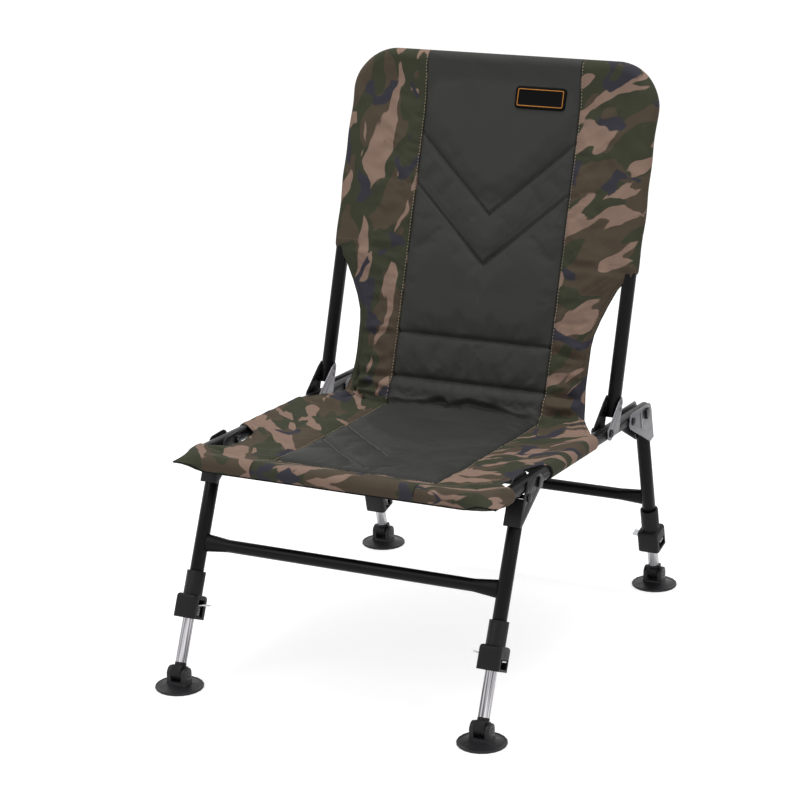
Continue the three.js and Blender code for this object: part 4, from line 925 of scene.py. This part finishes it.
def seam_lines():
    """Beside the long seams, on the camouflage, from the front hem over the top tube."""
    return [[(side * (SEAM_X + 2.4), 1), (side * (SEAM_X + 2.4), TOP_T + 9)] for side in (-1, 1)]


def vee_lines(places):
    """Along the panel's vees."""
    return [[(-SEAM_X, place), (0, place - VEE_DEPTH), (SEAM_X, place)] for place in places]


def across_lines():
    """Along the panel's front seam and its tucks."""
    places = FRONT_SEAM - 2.4, LUMBAR_SEAMS[0] - 0.8, LUMBAR_SEAMS[1] - 0.8
    return [[(-SEAM_X, t), (SEAM_X, t)] for t in places]


def sleeve_end_lines():
    """Round the ends of the sleeves."""
    lines = []
    fronts = FRONT_SLEEVE_END - END_SEAM, SIDE_SLEEVE_END - END_SEAM
    backs = SIDE_SLEEVE_START + END_SEAM, BACK_SLEEVE_START + END_SEAM - 1
    for t in sorted(fronts + backs):
        for side in (-1, 1):
            lines.append([(side * 200, t), (side * 243, t)])
    return lines


HEM_WIDTH = 7.0


def edge_lines():
    """Along the inner edges of the hems of the cut-outs."""
    half = outline_half_width(row_t)
    lines = []
    front_cut = FRONT_SLEEVE_END + 4, SIDE_SLEEVE_START - 5
    waist_cut = SIDE_SLEEVE_END + 5, BACK_SLEEVE_START - 8
    for low, high in (front_cut, waist_cut):
        cut = (row_t > low) & (row_t < high)
        for side in (-1, 1):
            lines.append(np.stack([side * (half[cut] - HEM_WIDTH), row_t[cut]], 1))
    return lines


sew("seam_stitching", tan_thread, seam_lines(), 4.8, 3.2, 1.2, 0.2)
sew("back_quilting", brown_thread, vee_lines(BACK_VEES), 4.4, 3.0, 0.8, 0.6)
# the seat's vees get a lighter grey thread: a painted highlight along the fold ridges there
sew("seat_quilting", seat_highlight_thread, vee_lines(SEAT_VEES), 4.4, 3.8, 1.0, 0.7)
sew("tuck_stitching", brown_thread, across_lines(), 4.4, 2.6, 0.7, 0.4)
sew("sleeve_end_stitching", brown_thread, sleeve_end_lines(), 4.4, 3.0, 0.8, 0.1)
sew("edge_stitching", black_thread, edge_lines(), 4.4, 3.0, 0.8, 0.1)

# Seam under the front edge
WELT_RADIUS = 1.3
WELT_SIDES = 8
WELT_RINGS = 81


def front_welt():
    """The dark rolled seam under the seat's front edge, up to the tips of its corners."""
    points = []
    for i in range(WELT_RINGS):
        x = (2 * i / (WELT_RINGS - 1) - 1) * (RAIL_X + SLEEVE - 1.5)
        corner = smooth(RAIL_X - 44, RAIL_X + SLEEVE, abs(x))
        t = -8.0 - 4.6 * corner
        under = [np.interp(x, grid_x[row], under_height[row]) for row in range(7)]
        height = np.interp(t, row_t[:7], under) - 0.4
        centre = seat_origin + t * seat_along + height * seat_normal
        for k in range(WELT_SIDES):
            turn = 2 * math.pi * k / WELT_SIDES
            y = centre[0] + WELT_RADIUS * math.cos(turn)
            z = centre[1] + WELT_RADIUS * math.sin(turn)
            points.append((x * MM, y * MM, z * MM))
    welt = new_piece("front_welt", points, ring_faces(WELT_RINGS, WELT_SIDES), [backing])
    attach(welt, "seat")


front_welt()

# Patch
PATCH_X, PATCH_T = 63.0, 450.0 + BACK_SHIFT
PATCH_WIDTH, PATCH_HEIGHT, PATCH_CORNER = 80.0, 33.0, 6.0
PATCH_RING = 24
PATCH_RIM_LEVEL = 4


def patch():
    """A small moulded patch sewn to the panel: a thin slab with round corners and a raised rim."""
    # its steps: how far in from the edge and how high
    levels = (
        (0, 0), (0, 1.6), (0.5, 2), (3.4, 2), (3.7, 2.5), (4.9, 2.5), (5.2, 1.7), (7, 1.6),
    )
    centre, _ = cloth_point(PATCH_X, PATCH_T)
    across, up, out = np.array((1.0, 0, 0)), np.array((0, *back_up)), np.array((0, *back_normal))
    points = []
    for inset, rise in levels:
        w, h = PATCH_WIDTH / 2 - inset, PATCH_HEIGHT / 2 - inset
        r = max(PATCH_CORNER - inset, 0.8)
        for sx, sy, first in ((1, 1, 0), (-1, 1, 90), (-1, -1, 180), (1, -1, 270)):
            for k in range(PATCH_RING // 4):
                angle = math.radians(first + 18 * k)
                x = sx * (w - r) + r * math.cos(angle)
                y = sy * (h - r) + r * math.sin(angle)
                points.append(centre + (across * x + up * y + out * (rise + 0.2)) * MM)
    faces = ring_faces(len(levels), PATCH_RING)
    slots = [1 if face // PATCH_RING == PATCH_RIM_LEVEL else 0 for face in range(len(faces))]
    made = new_piece("patch", points, faces, [patch_rubber, patch_rim], slots)
    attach(made, "backrest")
    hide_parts("badge_patch")


patch()


# Floor, light and camera
def seen_directly(tree):
    """1 for what the camera or a mirror-like surface sees, 0 for light that falls on the chair."""
    rays = node(tree, "ShaderNodeLightPath", {}).node.outputs
    both = {"operation": "MAXIMUM", 0: rays["Is Camera Ray"], 1: rays["Is Glossy Ray"]}
    either = node(tree, "ShaderNodeMath", both)
    clear = {"operation": "MAXIMUM", 0: either, 1: rays["Is Transmission Ray"]}
    return node(tree, "ShaderNodeMath", clear)


def white_floor():
    """A white floor that glows a little to the camera, so that it is white but for its shadows."""
    size = 30
    corners = [(-size, -size, 0), (size, -size, 0), (size, size, 0), (-size, size, 0)]
    mesh = bpy.data.meshes.new("floor")
    mesh.from_pydata(corners, [], [(0, 1, 2, 3)])
    material, tree, shader = new_material("white_floor", Roughness=0.9, Specular_IOR_Level=0.0)
    shader.inputs["Base Color"].default_value = linear("#E6E6E6")
    shader.inputs["Emission Color"].default_value = linear("#FFFFFF")
    glow = {"operation": "MULTIPLY", 0: seen_directly(tree), 1: 0.62}
    wire(tree, shader, Emission_Strength=node(tree, "ShaderNodeMath", glow))
    mesh.materials.append(material)
    add_object("floor", mesh)


def white_world():
    """White all round: full strength where it is seen, less where it lights the chair."""
    ambient = 0.52
    world = bpy.data.worlds.new("studio")
    bpy.context.scene.world = world
    world.use_nodes = True
    tree = world.node_tree
    background = tree.nodes["Background"]
    background.inputs["Color"].default_value = linear("#FFFFFF")
    mix = {"operation": "MULTIPLY_ADD", 0: seen_directly(tree), 1: 1 - ambient, 2: ambient}
    wire(tree, background, Strength=node(tree, "ShaderNodeMath", mix))


def softbox(name, place, aim, size, power):
    """A rectangular lamp aimed at a point."""
    lamp = bpy.data.lights.new(name, "AREA")
    lamp.shape = "RECTANGLE"
    lamp.size, lamp.size_y = size
    lamp.energy = power
    made = add_object(name, lamp)
    made.location = place
    made.rotation_mode = "QUATERNION"
    made.rotation_quaternion = (Vector(aim) - Vector(place)).to_track_quat("-Z", "Y")


white_floor()
white_world()
softbox("key_softbox", (-1.4, -2.0, 2.4), (0, 0, 0.35), (1.5, 1.5), 15)
softbox("fill_softbox", (2.6, -0.8, 1.6), (0, 0, 0.35), (1.2, 2.0), 9)
softbox("top_softbox", (0.1, 0.2, 2.8), (0, 0, 0.3), (1.8, 1.2), 26)

AZIMUTH, ELEVATION, ROLL = math.radians(26.41), math.radians(16.88), math.radians(-0.96)
DISTANCE = 3.5508
TARGET = Vector((0.02475, -0.1291, 0.3968))
SENSOR_MM, LENS_MM = 36, 116.2


def photo_camera():
    """The camera at the photograph's viewing angle."""
    level = math.cos(ELEVATION)
    back = Vector((math.sin(AZIMUTH) * level, -math.cos(AZIMUTH) * level, math.sin(ELEVATION)))
    right = Vector((math.cos(AZIMUTH), math.sin(AZIMUTH), 0))
    over = back.cross(right)
    across = right * math.cos(ROLL) + over * math.sin(ROLL)
    upward = over * math.cos(ROLL) - right * math.sin(ROLL)
    camera = add_object("camera", bpy.data.cameras.new("camera"))
    camera.data.sensor_width = SENSOR_MM
    camera.data.lens = LENS_MM
    camera.data.clip_end = 100
    turn = Matrix((across, upward, back)).transposed().to_4x4()
    camera.matrix_world = Matrix.Translation(TARGET + back * DISTANCE) @ turn
    bpy.context.scene.camera = camera


photo_camera()
bpy.context.scene.view_settings.view_transform = "Standard"
